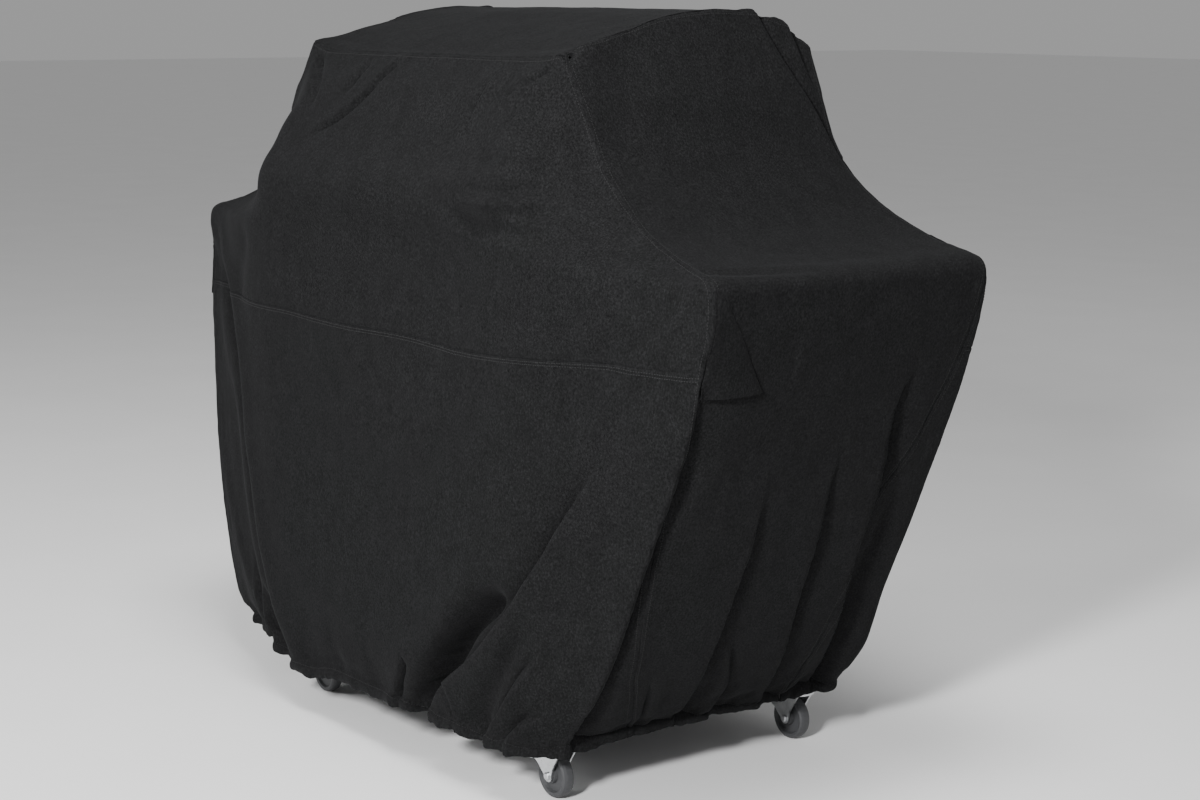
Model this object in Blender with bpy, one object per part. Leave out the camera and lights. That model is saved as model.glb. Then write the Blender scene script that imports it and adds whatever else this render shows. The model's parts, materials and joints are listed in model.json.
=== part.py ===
"""Fitted cover on a wheeled gas grill, built as separate pieces.

Frame: +Z up, origin on the floor under the middle of the outline, X along the
width (right shelf at +X), the grill's front faces -Y.  Metres.
"""
import bpy
import bmesh
import math
import numpy as np
from mathutils import Vector, Matrix

# ------------------------------------------------------------------ sizes
SHELF_X = 0.760        # half width of the cover over the side shelves
SHELF_Y = 0.281        # half depth of the cover at the shelf corners
SHELF_Z = 0.885        # height of the cover over the side shelves
LID_X = 0.372          # half width of the cover's top panel
LID_FRONT_Y, LID_BACK_Y = -0.263, 0.250
LID_FRONT_Z, LID_BACK_Z = 1.195, 1.210
SEAM_Z = 0.745         # cross seam of the front and back panels
HEM_TOP_Z, HEM_Z = 0.110, 0.088
FABRIC_T = 0.003       # wall of the cover's panels
GAP = 0.0005           # half of the clearance along each seam
WHEEL_R, WHEEL_W = 0.0381, 0.022
TRAIL = 0.012          # wheel axle behind the swivel axis
SWIVEL_X, SWIVEL_Y = 0.362, 0.258
PEDAL_PIN = (-0.036, 0.066)      # from the wheel's centre line: x, and height

# stations of the right corner seam: height, half width, front y
SEAM_R = [(0.110, 0.415, -0.296), (0.150, 0.450, -0.291), (0.240, 0.512, -0.287),
          (0.420, 0.601, -0.287), (0.570, 0.670, -0.285), (0.710, 0.728, -0.283),
          (0.850, 0.761, -0.281), (0.885, 0.760, -0.281), (0.900, 0.715, -0.275),
          (0.920, 0.640, -0.266), (0.950, 0.560, -0.257), (0.985, 0.500, -0.252),
          (1.035, 0.448, -0.250), (1.120, 0.407, -0.255), (1.195, 0.372, -0.263)]
# the left end hangs more loosely: height, half width, front y
SEAM_L = [(0.110, 0.615, -0.280), (0.150, 0.676, -0.281), (0.230, 0.712, -0.282),
          (0.380, 0.741, -0.283), (0.540, 0.756, -0.283), (0.710, 0.761, -0.283),
          (0.850, 0.762, -0.281)] + SEAM_R[7:11] + [
              (0.985, 0.505, -0.264), (1.035, 0.458, -0.278), (1.120, 0.416, -0.286), (1.195, 0.372, -0.263)]
# how far the middle of the front stands out: height, y
FRONT = [(0.110, -0.362), (0.300, -0.382), (0.740, -0.384), (0.900, -0.388), (0.960, -0.398),
         (1.000, -0.389), (1.040, -0.366), (1.100, -0.337), (1.150, -0.311), (1.195, -0.263)]
# the back's corner seam and middle: height, y
BACK_SEAM = [(0.110, 0.292), (0.300, 0.284), (0.885, 0.281), (0.960, 0.263), (1.035, 0.254),
             (1.120, 0.249), (1.195, 0.250)]
BACK = [(0.110, 0.316), (0.300, 0.308), (0.740, 0.298), (0.900, 0.296), (1.050, 0.290),
        (1.150, 0.280), (1.195, 0.250)]
# arch of the lid from front to back: y, height
ARCH = [(-0.263, 1.195), (-0.200, 1.223), (-0.120, 1.247), (-0.040, 1.265), (0.045, 1.272),
        (0.120, 1.268), (0.190, 1.250), (0.250, 1.210)]

# ------------------------------------------------------------------ scene start
for ob in list(bpy.data.objects):
    bpy.data.objects.remove(ob, do_unlink=True)


def material(name, color, rough, metal=0.0):
    m = bpy.data.materials.new(name)
    m.use_nodes = True
    b = m.node_tree.nodes["Principled BSDF"]
    b.inputs["Base Color"].default_value = (*color, 1.0)
    b.inputs["Roughness"].default_value = rough
    b.inputs["Metallic"].default_value = metal
    return m


FABRIC = material("cover_fabric", (0.022, 0.022, 0.023), 0.9)
MESHM = material("vent_mesh", (0.015, 0.015, 0.015), 0.9)
ELASTIC = material("elastic_rubber", (0.04, 0.04, 0.04), 0.8)
PAINT = material("grill_paint", (0.05, 0.05, 0.055), 0.45)
STEEL = material("grill_steel", (0.55, 0.55, 0.56), 0.35, 1.0)
ZINC = material("zinc_plate", (0.62, 0.63, 0.64), 0.38, 1.0)
WHEELM = material("wheel_rubber", (0.045, 0.045, 0.047), 0.6)


def curve_at(table, s, k=1):
    """Smooth monotone curve through the stations of a table, column k."""
    xs = [row[0] for row in table]
    ys = [row[k] for row in table]
    n = len(xs)
    d = [(ys[i + 1] - ys[i]) / (xs[i + 1] - xs[i]) for i in range(n - 1)]
    if s <= xs[0]:
        return ys[0] + d[0] * (s - xs[0])
    if s >= xs[-1]:
        return ys[-1] + d[-1] * (s - xs[-1])
    m = [d[0]] + [0.0] * (n - 2) + [d[-1]]
    for i in range(1, n - 1):
        if d[i - 1] * d[i] > 0:
            m[i] = 2 * d[i - 1] * d[i] / (d[i - 1] + d[i])
    i = max(j for j in range(n - 1) if s >= xs[j])
    h = xs[i + 1] - xs[i]
    t = (s - xs[i]) / h
    return ((2 * t ** 3 - 3 * t ** 2 + 1) * ys[i] + (t ** 3 - 2 * t ** 2 + t) * h * m[i]
            + (-2 * t ** 3 + 3 * t ** 2) * ys[i + 1] + (t ** 3 - t ** 2) * h * m[i + 1])


def smooth(t):
    t = min(1.0, max(0.0, t))
    return t * t * (3 - 2 * t)


# ------------------------------------------------------------------ the cover's outer surface
def back_z(z):
    """Height on the back seam of a row whose front height is z."""
    return z + (LID_BACK_Z - LID_FRONT_Z) * max(0.0, (z - SHELF_Z) / (LID_FRONT_Z - SHELF_Z)) ** 2


def belly(z, x, side):
    """1 over the middle of the front or back, 0 at the corner seam."""
    xs = curve_at(side, z, 1)
    x0 = min(0.34, 0.30 + 0.1 * z)
    if z > SHELF_Z:
        x0 = max(0.30, x0 - 0.1 * smooth((z - 1.05) / 0.14))
    x0 = min(x0, xs - 0.06)
    t = min(1.0, max(0.0, (xs - abs(x)) / (xs - x0)))
    return math.sin(0.5 * math.pi * t) ** 1.5 if t > 0 else 0.0


def front_point(u, z):
    side = SEAM_R if u >= 0 else SEAM_L
    x = u * curve_at(side, z, 1)
    ys = curve_at(side, z, 2)
    return Vector((x, ys + (curve_at(FRONT, z) - ys) * belly(z, x, side), z))


def back_point(u, z):
    side = SEAM_R if u >= 0 else SEAM_L
    x = u * curve_at(side, z, 1)
    ys = curve_at(BACK_SEAM, z)
    return Vector((x, ys + (curve_at(BACK, z) - ys) * belly(z, x, side), back_z(z)))


def side_point(sign, v, z):
    side = SEAM_R if sign > 0 else SEAM_L
    ya, yb = curve_at(side, z, 2), curve_at(BACK_SEAM, z)
    y = ya + (yb - ya) * v
    x = curve_at(side, z, 1)
    h = z + (back_z(z) - z) * v
    rise = max(0.0, (z - SHELF_Z) / (LID_FRONT_Z - SHELF_Z))
    if rise > 0:
        yt = LID_FRONT_Y + (LID_BACK_Y - LID_FRONT_Y) * v
        h += (curve_at(ARCH, yt) - (LID_FRONT_Z + (LID_BACK_Z - LID_FRONT_Z) * v)) * rise ** 1.5
        h -= 0.010 * math.sin(math.pi * v) * 4 * max(0.0, rise * 2.2) * max(0.0, 1 - rise * 2.2)
    else:
        x += 0.006 * math.sin(math.pi * v) * smooth((z - HEM_TOP_Z) / 0.2)
    return Vector((sign * x, y, h))


def top_point(u, v):
    y = LID_FRONT_Y + (LID_BACK_Y - LID_FRONT_Y) * v
    return Vector((u * LID_X, y, curve_at(ARCH, y) + 0.004 * (1 - u * u) * math.sin(math.pi * v)))


def spread(a, b, n):
    return [a + (b - a) * i / n for i in range(n + 1)]


LOW = [HEM_TOP_Z, 0.15, 0.22, 0.32, 0.44, 0.56, 0.66, SEAM_Z]
HIGH = [SEAM_Z, 0.81, 0.85, SHELF_Z, 0.90, 0.92, 0.95, 0.985, 1.035, 1.08, 1.13, 1.17, LID_FRONT_Z]
ACROSS = spread(-1.0, 1.0, 20)
DEPTH = spread(0.0, 1.0, 8)

GRIDS = {
    "cover_front_panel_lower": [[front_point(u, z) for u in ACROSS] for z in LOW],
    "cover_front_panel_upper": [[front_point(u, z) for u in ACROSS] for z in HIGH],
    "cover_back_panel_lower": [[back_point(-u, z) for u in ACROSS] for z in LOW],
    "cover_back_panel_upper": [[back_point(-u, z) for u in ACROSS] for z in HIGH],
    "cover_side_panel_right": [[side_point(1, v, z) for v in DEPTH] for z in LOW + HIGH[1:]],
    "cover_side_panel_left": [[side_point(-1, 1 - v, z) for v in DEPTH] for z in LOW + HIGH[1:]],
    "cover_top_panel": [[top_point(u, v) for u in ACROSS] for v in DEPTH],
}


def key(p):
    return (round(p.x, 5), round(p.y, 5), round(p.z, 5))


NORMALS = {}
for grid in GRIDS.values():
    for r in range(len(grid) - 1):
        for c in range(len(grid[0]) - 1):
            quad = (grid[r][c], grid[r][c + 1], grid[r + 1][c + 1], grid[r + 1][c])
            for a, b, d in ((0, 1, 2), (0, 2, 3)):
                n = (quad[b] - quad[a]).cross(quad[d] - quad[a])
                for i in (a, b, d):
                    NORMALS.setdefault(key(quad[i]), Vector()).__iadd__(n)


def new_object(name, bm, mat, smooth_angle=None, parent=None, location=None):
    me = bpy.data.meshes.new(name)
    bmesh.ops.recalc_face_normals(bm, faces=bm.faces)
    bm.to_mesh(me)
    bm.free()
    me.materials.append(mat)
    if smooth_angle is not None:
        me.shade_smooth()
        me.set_sharp_from_angle(angle=math.radians(smooth_angle))
    ob = bpy.data.objects.new(name, me)
    bpy.context.scene.collection.objects.link(ob)
    if parent is not None:
        ob.parent = parent
    if location is not None:
        ob.location = location
    return ob


def shell_from_grid(name, outer, inner, mat):
    """Closed sheet between two grids of the same size."""
    bm = bmesh.new()
    nr, nc = len(outer), len(outer[0])
    a = [[bm.verts.new(p) for p in row] for row in outer]
    b = [[bm.verts.new(p) for p in row] for row in inner]
    for r in range(nr - 1):
        for c in range(nc - 1):
            for g, flip in ((a, False), (b, True)):
                q = [g[r][c], g[r][c + 1], g[r + 1][c + 1], g[r + 1][c]]
                for tri in ((q[0], q[1], q[2]), (q[0], q[2], q[3])):
                    bm.faces.new(tri[::-1] if flip else tri)
    rim = ([(0, c) for c in range(nc)] + [(r, nc - 1) for r in range(1, nr)]
           + [(nr - 1, c) for c in range(nc - 2, -1, -1)] + [(r, 0) for r in range(nr - 2, 0, -1)])
    for i, (r, c) in enumerate(rim):
        r2, c2 = rim[(i + 1) % len(rim)]
        bm.faces.new((a[r2][c2], a[r][c], b[r][c], b[r2][c2]))
    return new_object(name, bm, mat, 50)


def off_seam(p, q, before, after):
    """Short step from p on a seam towards q, square to the seam."""
    t = (after - before).normalized()
    d = q - p
    return (d - t * d.dot(t)).normalized() * GAP


def panel(name, grid):
    nr, nc = len(grid), len(grid[0])
    outer = [[grid[r][c].copy() for c in range(nc)] for r in range(nr)]
    normal = [[NORMALS[key(grid[r][c])].normalized() for c in range(nc)] for r in range(nr)]
    for r in range(nr):
        r0, r1 = max(0, r - 1), min(nr - 1, r + 1)
        outer[r][0] += off_seam(grid[r][0], grid[r][1], grid[r0][0], grid[r1][0])
        outer[r][-1] += off_seam(grid[r][-1], grid[r][-2], grid[r0][-1], grid[r1][-1])
    for c in range(nc):
        c0, c1 = max(0, c - 1), min(nc - 1, c + 1)
        outer[0][c] += off_seam(grid[0][c], grid[1][c], grid[0][c0], grid[0][c1])
        outer[-1][c] += off_seam(grid[-1][c], grid[-2][c], grid[-1][c0], grid[-1][c1])
    inner = [[outer[r][c] - normal[r][c] * FABRIC_T for c in range(nc)] for r in range(nr)]
    return shell_from_grid(name, outer, inner, FABRIC)


for name, grid in GRIDS.items():
    panel(name, grid)

# ------------------------------------------------------------------ hem casing and its elastic
ring, ring_id = [], []
for part_name, points in (
        ("front", [front_point(u, HEM_TOP_Z) for u in ACROSS]),
        ("right", [side_point(1, v, HEM_TOP_Z) for v in DEPTH]),
        ("back", [back_point(-u, HEM_TOP_Z) for u in ACROSS]),
        ("left", [side_point(-1, 1 - v, HEM_TOP_Z) for v in DEPTH])):
    for p in points[:-1]:
        ring.append(Vector((p.x, p.y, 0.0)))
        ring_id.append(part_name)
RN = []
for i, p in enumerate(ring):
    d = (ring[(i + 1) % len(ring)] - ring[i - 1]).normalized()
    RN.append(Vector((d.y, -d.x, 0.0)))


def sweep_on_ring(name, part_name, section, mat, end_gap, close_open_ends=True):
    """Sweep a closed section (depth inward, height) along one side of the hem."""
    ids = [i for i, s in enumerate(ring_id) if s == part_name]
    ids.append((ids[-1] + 1) % len(ring))
    pts = [ring[i].copy() for i in ids]
    nrm = [RN[i] for i in ids]
    pts[0] += (pts[1] - pts[0]).normalized() * end_gap
    pts[-1] += (pts[-2] - pts[-1]).normalized() * end_gap
    bm = bmesh.new()
    loops = []
    for p, n in zip(pts, nrm):
        loops.append([bm.verts.new((p.x - n.x * s, p.y - n.y * s, h)) for s, h in section])
    k = len(section)
    for a, b in zip(loops, loops[1:]):
        for j in range(k):
            bm.faces.new((a[j], a[(j + 1) % k], b[(j + 1) % k], b[j]))
    bm.faces.new(loops[0][::-1])
    bm.faces.new(loops[-1])
    bmesh.ops.triangulate(bm, faces=[f for f in bm.faces if len(f.verts) > 3])
    return new_object(name, bm, mat, 50)


CASING = [(0.0, HEM_TOP_Z - 0.0008), (0.0, HEM_Z + 0.001), (0.001, HEM_Z), (0.0045, HEM_Z),
          (0.0055, HEM_Z + 0.001), (0.0055, HEM_TOP_Z - 0.0008), (0.0043, HEM_TOP_Z - 0.0008),
          (0.0043, HEM_Z + 0.0014), (0.0012, HEM_Z + 0.0014), (0.0012, HEM_TOP_Z - 0.0008)]
BAND = [(0.0018, HEM_Z + 0.015), (0.0018, HEM_Z + 0.003), (0.0036, HEM_Z + 0.003),
        (0.0036, HEM_Z + 0.015)]
for part_name in ("front", "back", "left", "right"):
    sweep_on_ring("hem_casing_" + part_name, part_name, CASING, FABRIC, 0.0008)
    sweep_on_ring("hem_elastic_" + part_name, part_name, BAND, ELASTIC, 0.004)


# ------------------------------------------------------------------ vent flaps and their mesh
def vent(sign, label):
    """Triangle with its apex at the shelf corner, open along its bottom edge."""
    def point(a, b, lift):
        z = 0.874 - 0.160 * a
        ya = curve_at(SEAM_R if sign > 0 else SEAM_L, z, 2) + 0.010
        y = ya + b * (0.004 + 0.108 * a)
        p = side_point(sign, (y - curve_at(SEAM_R, z, 2)) / (2 * SHELF_Y), z)
        return Vector((p.x + sign * lift, y, z))
    rows, cols = spread(0, 1, 6), spread(0, 1, 4)
    if sign < 0:
        cols = cols[::-1]

    def grid(f):
        return [[point(1 - a, b, f(1 - a, b)) for b in cols] for a in rows]
    shell_from_grid("vent_mesh_" + label, grid(lambda a, b: 0.0020), grid(lambda a, b: 0.0012), MESHM)
    shell_from_grid("vent_flap_" + label, grid(lambda a, b: 0.0044 + 0.007 * a * a * math.sin(math.pi * (0.1 + 0.8 * b))),
                    grid(lambda a, b: 0.0030 + 0.007 * a * a * math.sin(math.pi * (0.1 + 0.8 * b))), FABRIC)


vent(1, "right")
vent(-1, "left")


# ------------------------------------------------------------------ plain tools for the grill
def box_bm(x0, x1, y0, y1, z0, z1):
    bm = bmesh.new()
    bmesh.ops.create_cube(bm, size=1.0, matrix=Matrix.LocRotScale(
        Vector(((x0 + x1) / 2, (y0 + y1) / 2, (z0 + z1) / 2)), None, Vector((x1 - x0, y1 - y0, z1 - z0))))
    return bm


def box(name, x0, x1, y0, y1, z0, z1, mat, bevel=0.0, parent=None, location=None):
    bm = box_bm(x0, x1, y0, y1, z0, z1)
    if bevel:
        bmesh.ops.bevel(bm, geom=list(bm.edges), offset=bevel, segments=1, affect="EDGES", profile=0.5)
    return new_object(name, bm, mat, None, parent, location)


def prism_bm(outline, y0, y1):
    """Extrude an outline of (x, z) points from y0 to y1."""
    bm = bmesh.new()
    f = bm.faces.new([bm.verts.new((x, y0, z)) for x, z in outline])
    geo = bmesh.ops.extrude_face_region(bm, geom=[f])
    bmesh.ops.translate(bm, vec=(0, y1 - y0, 0), verts=[v for v in geo["geom"] if isinstance(v, bmesh.types.BMVert)])
    return bm


def prism_x(outline, x0, x1):
    """Extrude an outline of (y, z) points from x0 to x1."""
    bm = bmesh.new()
    f = bm.faces.new([bm.verts.new((x0, y, z)) for y, z in outline])
    geo = bmesh.ops.extrude_face_region(bm, geom=[f])
    bmesh.ops.translate(bm, vec=(x1 - x0, 0, 0), verts=[v for v in geo["geom"] if isinstance(v, bmesh.types.BMVert)])
    return bm


def cutter(name, bm, parent=None, location=None):
    ob = new_object(name, bm, PAINT, None, parent, location)
    ob.hide_render = True
    ob.display_type = "WIRE"
    return ob


def boolean(ob, other, operation):
    m = ob.modifiers.new(operation.lower() + "_" + other.name, "BOOLEAN")
    m.operation = operation
    m.solver = "EXACT"
    m.object = other


def turned_bm(profile, segments, axis="Z"):
    """Turn a closed profile of (radius, height) round an axis through the origin."""
    bm = bmesh.new()
    loops = []
    on_axis = {}
    for i in range(segments):
        a = 2 * math.pi * i / segments
        loop = []
        for j, (r, h) in enumerate(profile):
            if r < 1e-9:
                if j not in on_axis:
                    on_axis[j] = bm.verts.new((0, 0, h) if axis == "Z" else (0, h, 0))
                loop.append(on_axis[j])
            else:
                c, s = r * math.cos(a), r * math.sin(a)
                loop.append(bm.verts.new((c, s, h) if axis == "Z" else (c, h, s)))
        loops.append(loop)
    k = len(profile)
    for i in range(segments):
        p, q = loops[i], loops[(i + 1) % segments]
        for j in range(k):
            face = []
            for v in (p[j], p[(j + 1) % k], q[(j + 1) % k], q[j]):
                if v not in face:
                    face.append(v)
            if len(face) > 2:
                bm.faces.new(face)
    return bm


# ------------------------------------------------------------------ the grill that carries the cover
# hood: an arched shell, open underneath
def arch_outline(inset, z0):
    ys = spread(-0.236, 0.226, 12)
    out = [(-0.300 + inset, z0), (-0.300 + inset, 0.985), (-0.268 + inset, 1.110)]
    out += [(y * (1 - inset / 0.24), curve_at(ARCH, y) - 0.016 - inset) for y in ys]
    out += [(0.246 - inset, 1.110), (0.246 - inset, z0)]
    return out


hood = new_object("hood_shell", prism_x(arch_outline(0.0, 0.952), -0.352, 0.352), PAINT)
boolean(hood, cutter("cut_hood", prism_x(arch_outline(0.004, 0.940), -0.348, 0.348)), "DIFFERENCE")

# hood handle: a bar with two posts, bolted to the hood's front
bar = new_object("hood_handle", turned_bm([(0, -0.27), (0.010, -0.27), (0.010, 0.27), (0, 0.27)], 16), STEEL)
bar.data.transform(Matrix.Translation((0, -0.352, 1.004)) @ Matrix.Rotation(math.pi / 2, 4, "Y"))
for i, x in enumerate((-0.23, 0.23)):
    boolean(bar, cutter("add_post_%d" % i, box_bm(x - 0.009, x + 0.009, -0.350, -0.2985, 0.996, 1.012)), "UNION")

# firebox: a tub under the hood, open at the top
tub = box("firebox", -0.350, 0.350, -0.244, 0.240, 0.700, 0.948, PAINT)
boolean(tub, cutter("cut_tub", box_bm(-0.345, 0.345, -0.239, 0.235, 0.706, 0.960)), "DIFFERENCE")
new_object("control_panel", prism_x([(-0.2455, 0.780), (-0.340, 0.790), (-0.368, 0.820), (-0.370, 0.900),
                                     (-0.335, 0.945), (-0.2455, 0.947)], -0.350, 0.350), STEEL)

# side shelves on their brackets, and the cart
for s, label in ((1, "right"), (-1, "left")):
    x = sorted((s * 0.3545, s * 0.748))
    box("side_shelf_" + label, x[0], x[1], -0.262, 0.258, 0.836, 0.862, STEEL, 0.004)
    x = sorted((s * 0.360, s * 0.640))
    box("shelf_bracket_" + label, x[0], x[1], -0.020, 0.020, 0.806, 0.8355, PAINT, 0.003)
    x = sorted((s * 0.352, s * 0.3595))
    box("cart_side_panel_" + label, x[0], x[1], -0.236, 0.234, 0.1265, 0.8355, PAINT, 0.002)
box("cart_back_panel", -0.3505, 0.3505, 0.228, 0.233, 0.1265, 0.6995, PAINT)
box("cart_base", -0.392, 0.392, -0.284, 0.284, 0.1025, 0.126, PAINT, 0.006)


# ------------------------------------------------------------------ casters
def mm(points):
    return [(a * 0.001, b * 0.001) for a, b in points]


WHEEL_PROFILE = mm([(4.4, -12.5), (12.5, -12.5), (14.0, -6.5), (27.0, -5.0), (29.5, -9.8), (33.5, -11.0),
                    (36.6, -9.0), (38.1, -4.5), (38.1, 4.5), (36.6, 9.0), (33.5, 11.0), (29.5, 9.8),
                    (27.0, 5.0), (14.0, 6.5), (12.5, 12.5), (4.4, 12.5)])
AXLE_PROFILE = mm([(0, -21.5), (5.0, -21.5), (6.4, -20.4), (6.4, -17.4), (4.0, -17.4), (4.0, 17.4),
                   (6.4, 17.4), (6.4, 20.6), (4.0, 20.6), (4.0, 22.5), (0, 22.5)])
RACE_PROFILE = mm([(0, 98.7), (24.0, 98.7), (24.0, 94.0), (21.0, 90.4), (6.0, 90.4), (6.0, 85.4),
                   (9.0, 85.4), (9.0, 82.4), (0, 82.4)])
LEG_OUTLINE = mm([(35, 86.4), (30, 80), (23, 69), (16.5, 59), (11.5, 50), (9.6, 42), (9.4, 35), (7.2, 30.4),
                  (3, 28.2), (-3, 28.2), (-6.6, 31), (-10, 37), (-29, 54.5), (-38.5, 59.5), (-41, 63),
                  (-41, 69.5), (-37, 72.5), (-32.5, 78), (-32.5, 86.4)])

wheel_mesh = None
for sx, xname in ((1, "right"), (-1, "left")):
    for sy, yname in ((-1, "front"), (1, "back")):
        tag = yname + "_" + xname
        px, py = sx * SWIVEL_X, sy * SWIVEL_Y
        swivel = bpy.data.objects.new("swivel_axis_" + tag, None)
        swivel.location = (px, py, 0.0)
        bpy.context.scene.collection.objects.link(swivel)
        # mounting plate and swivel race with its rivet, fixed under the cart
        box("caster_plate_" + tag, px - 0.028, px + 0.028, py - 0.025, py + 0.025, 0.0990, 0.1022, ZINC, 0.001)
        new_object("swivel_race_" + tag, turned_bm(RACE_PROFILE, 16), ZINC, 40, swivel)
        # fork: a round crown with two tapering legs
        wheel_at = Vector((-TRAIL, 0.0, 0.0))
        fork = new_object("caster_fork_" + tag, turned_bm(mm([(6.5, 86.2), (31, 86.2), (31, 89.4), (6.5, 89.4)]), 22),
                          ZINC, 35, swivel)
        arm = box_bm(-0.0445, -0.0100, -0.0165, 0.0165, 0.0842, 0.0872)
        boolean(fork, cutter("add_crown_" + tag, arm, swivel), "UNION")
        for side in (-1, 1):
            y = sorted((side * 0.0140, side * 0.0170))
            leg = prism_bm([(x - TRAIL, z) for x, z in LEG_OUTLINE], y[0], y[1])
            boolean(fork, cutter("add_leg_%s_%d" % (tag, side), leg, swivel), "UNION")
        bore = turned_bm(mm([(0, -30), (4.3, -30), (4.3, 30), (0, 30)]), 16, "Y")
        boolean(fork, cutter("cut_axle_" + tag, bore, swivel, (-TRAIL, 0, WHEEL_R)), "DIFFERENCE")
        pin_at = (PEDAL_PIN[0] - TRAIL, 0.0, PEDAL_PIN[1])
        if yname == "front":
            bore = turned_bm(mm([(0, -30), (2.9, -30), (2.9, 30), (0, 30)]), 12, "Y")
            boolean(fork, cutter("cut_pin_" + tag, bore, swivel, pin_at), "DIFFERENCE")
        # wheel with a recessed face and a rounded tread, on its bolt
        if wheel_mesh is None:
            wheel = new_object("wheel_" + tag, turned_bm(WHEEL_PROFILE, 28, "Y"), WHEELM, 25, swivel,
                               (-TRAIL, 0, WHEEL_R))
            wheel_mesh = wheel.data
        else:
            wheel = bpy.data.objects.new("wheel_" + tag, wheel_mesh)
            bpy.context.scene.collection.objects.link(wheel)
            wheel.parent = swivel
            wheel.location = (-TRAIL, 0, WHEEL_R)
        new_object("axle_bolt_" + tag, turned_bm(AXLE_PROFILE, 12, "Y"), ZINC, 40, swivel, (-TRAIL, 0, WHEEL_R))
        if yname == "front":
            # brake pedal: a channel on its pin, widening to a foot plate
            new_object("pedal_pin_" + tag, turned_bm(mm([(0, -18.6), (4.2, -18.6), (4.2, -17.4), (2.5, -17.4),
                                                         (2.5, 17.4), (4.2, 17.4), (4.2, 18.6), (0, 18.6)]), 12, "Y"),
                       ZINC, 40, swivel, pin_at)
            # outline in (x, z) from the pin: eye, arm and foot plate with an upturned toe
            eye = [(4.4 * math.cos(a), 4.4 * math.sin(a)) for a in
                   [math.radians(d) for d in (150, 110, 70, 30, -10, -50, -90)]]
            lever = mm(eye + [(-7.0, -7.2), (-30.0, -9.0), (-30.0, -1.6), (-12.0, 1.5)])
            pedal = new_object("brake_pedal_" + tag, prism_bm(lever, -0.0130, 0.0130), ZINC, 35, swivel, pin_at)
            cheek = mm([(-6.0, -2.5), (-6.4, -9.6), (-30.5, -10.4), (-30.5, -1.2), (-12.0, 1.9)])
            boolean(pedal, cutter("add_cheeks_" + tag, prism_bm(cheek, -0.0170, 0.0170), swivel, pin_at), "UNION")
            foot = mm([(-26.5, -5.2), (-26.5, -7.8), (-71.0, -5.6), (-75.0, -3.4), (-74.0, -1.2), (-70.0, -3.0)])
            boolean(pedal, cutter("add_foot_" + tag, prism_bm(foot, -0.0420, 0.0420), swivel, pin_at), "UNION")
            bore = turned_bm(mm([(0, -30), (2.9, -30), (2.9, 30), (0, 30)]), 12, "Y")
            boolean(pedal, cutter("cut_eye_" + tag, bore, swivel, pin_at), "DIFFERENCE")
            hollow = mm([(-8.4, -4.0), (-8.4, -14.0), (-25.0, -14.0), (-25.0, -3.4), (-14.0, -1.4)])
            boolean(pedal, cutter("cut_channel_" + tag, prism_bm(hollow, -0.0105, 0.0105), swivel, pin_at), "DIFFERENCE")

# ------------------------------------------------------------------ the origin under the middle of the whole outline
skin = [ob for ob in bpy.data.objects if ob.name.startswith(("cover_", "vent_flap_"))]
xs = [v.co.x for ob in skin for v in ob.data.vertices]
ys = [v.co.y for ob in skin for v in ob.data.vertices]
SHIFT = Vector((-(min(xs) + max(xs)) / 2, -(min(ys) + max(ys)) / 2, 0.0))
for ob in list(bpy.data.objects):
    if ob.parent is None:
        ob.location += SHIFT
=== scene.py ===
"""Looks of a fitted grill cover on its wheeled grill: draped fabric, gathered hem, seams, vents and casters."""
import bpy
import bmesh
import json
import math
import numpy as np
from mathutils import Vector, Matrix
from mathutils.bvhtree import BVHTree


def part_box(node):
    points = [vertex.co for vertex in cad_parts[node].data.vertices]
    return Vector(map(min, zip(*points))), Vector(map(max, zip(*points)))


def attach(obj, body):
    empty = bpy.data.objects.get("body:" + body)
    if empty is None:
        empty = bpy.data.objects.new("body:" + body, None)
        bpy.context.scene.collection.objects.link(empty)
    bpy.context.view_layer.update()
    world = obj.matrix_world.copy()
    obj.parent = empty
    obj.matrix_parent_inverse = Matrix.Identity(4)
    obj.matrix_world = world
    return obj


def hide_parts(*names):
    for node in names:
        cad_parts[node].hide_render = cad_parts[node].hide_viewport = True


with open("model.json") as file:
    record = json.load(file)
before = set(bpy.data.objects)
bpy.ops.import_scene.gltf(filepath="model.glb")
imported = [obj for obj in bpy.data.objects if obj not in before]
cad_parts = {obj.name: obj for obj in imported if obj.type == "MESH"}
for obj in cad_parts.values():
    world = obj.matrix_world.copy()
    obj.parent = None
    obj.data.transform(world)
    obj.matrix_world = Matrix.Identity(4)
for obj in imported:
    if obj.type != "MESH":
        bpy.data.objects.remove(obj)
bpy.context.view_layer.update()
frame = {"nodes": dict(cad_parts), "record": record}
SCENE = bpy.context.scene

# the grill's own middle: the cart's base is centred on it
_lo, _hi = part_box("cart_base")
ORG = np.array([(_lo[0] + _hi[0]) / 2, (_lo[1] + _hi[1]) / 2, 0.0])

# ------------------------------------------------------------------ camera first
YAW, PITCH, ROLL = math.radians(52.63), math.radians(9.93), math.radians(0.33)
cam_dir = Vector((-math.sin(YAW) * math.cos(PITCH), math.cos(YAW) * math.cos(PITCH), -math.sin(PITCH)))
right = Vector((math.cos(YAW), math.sin(YAW), 0.0))
up = right.cross(cam_dir)
right, up = (right * math.cos(ROLL) + up * math.sin(ROLL), up * math.cos(ROLL) - right * math.sin(ROLL))
cam_data = bpy.data.cameras.new("camera")
cam_data.sensor_width = 36.0
cam_data.lens = 68.93
cam_data.clip_end = 60
cam = bpy.data.objects.new("camera", cam_data)
SCENE.collection.objects.link(cam)
m = Matrix((right, up, -cam_dir)).transposed().to_4x4()
m.translation = Vector((3.2446, -2.3828, 1.2868)) + Vector(ORG)
cam.matrix_world = m
SCENE.camera = cam

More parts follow.
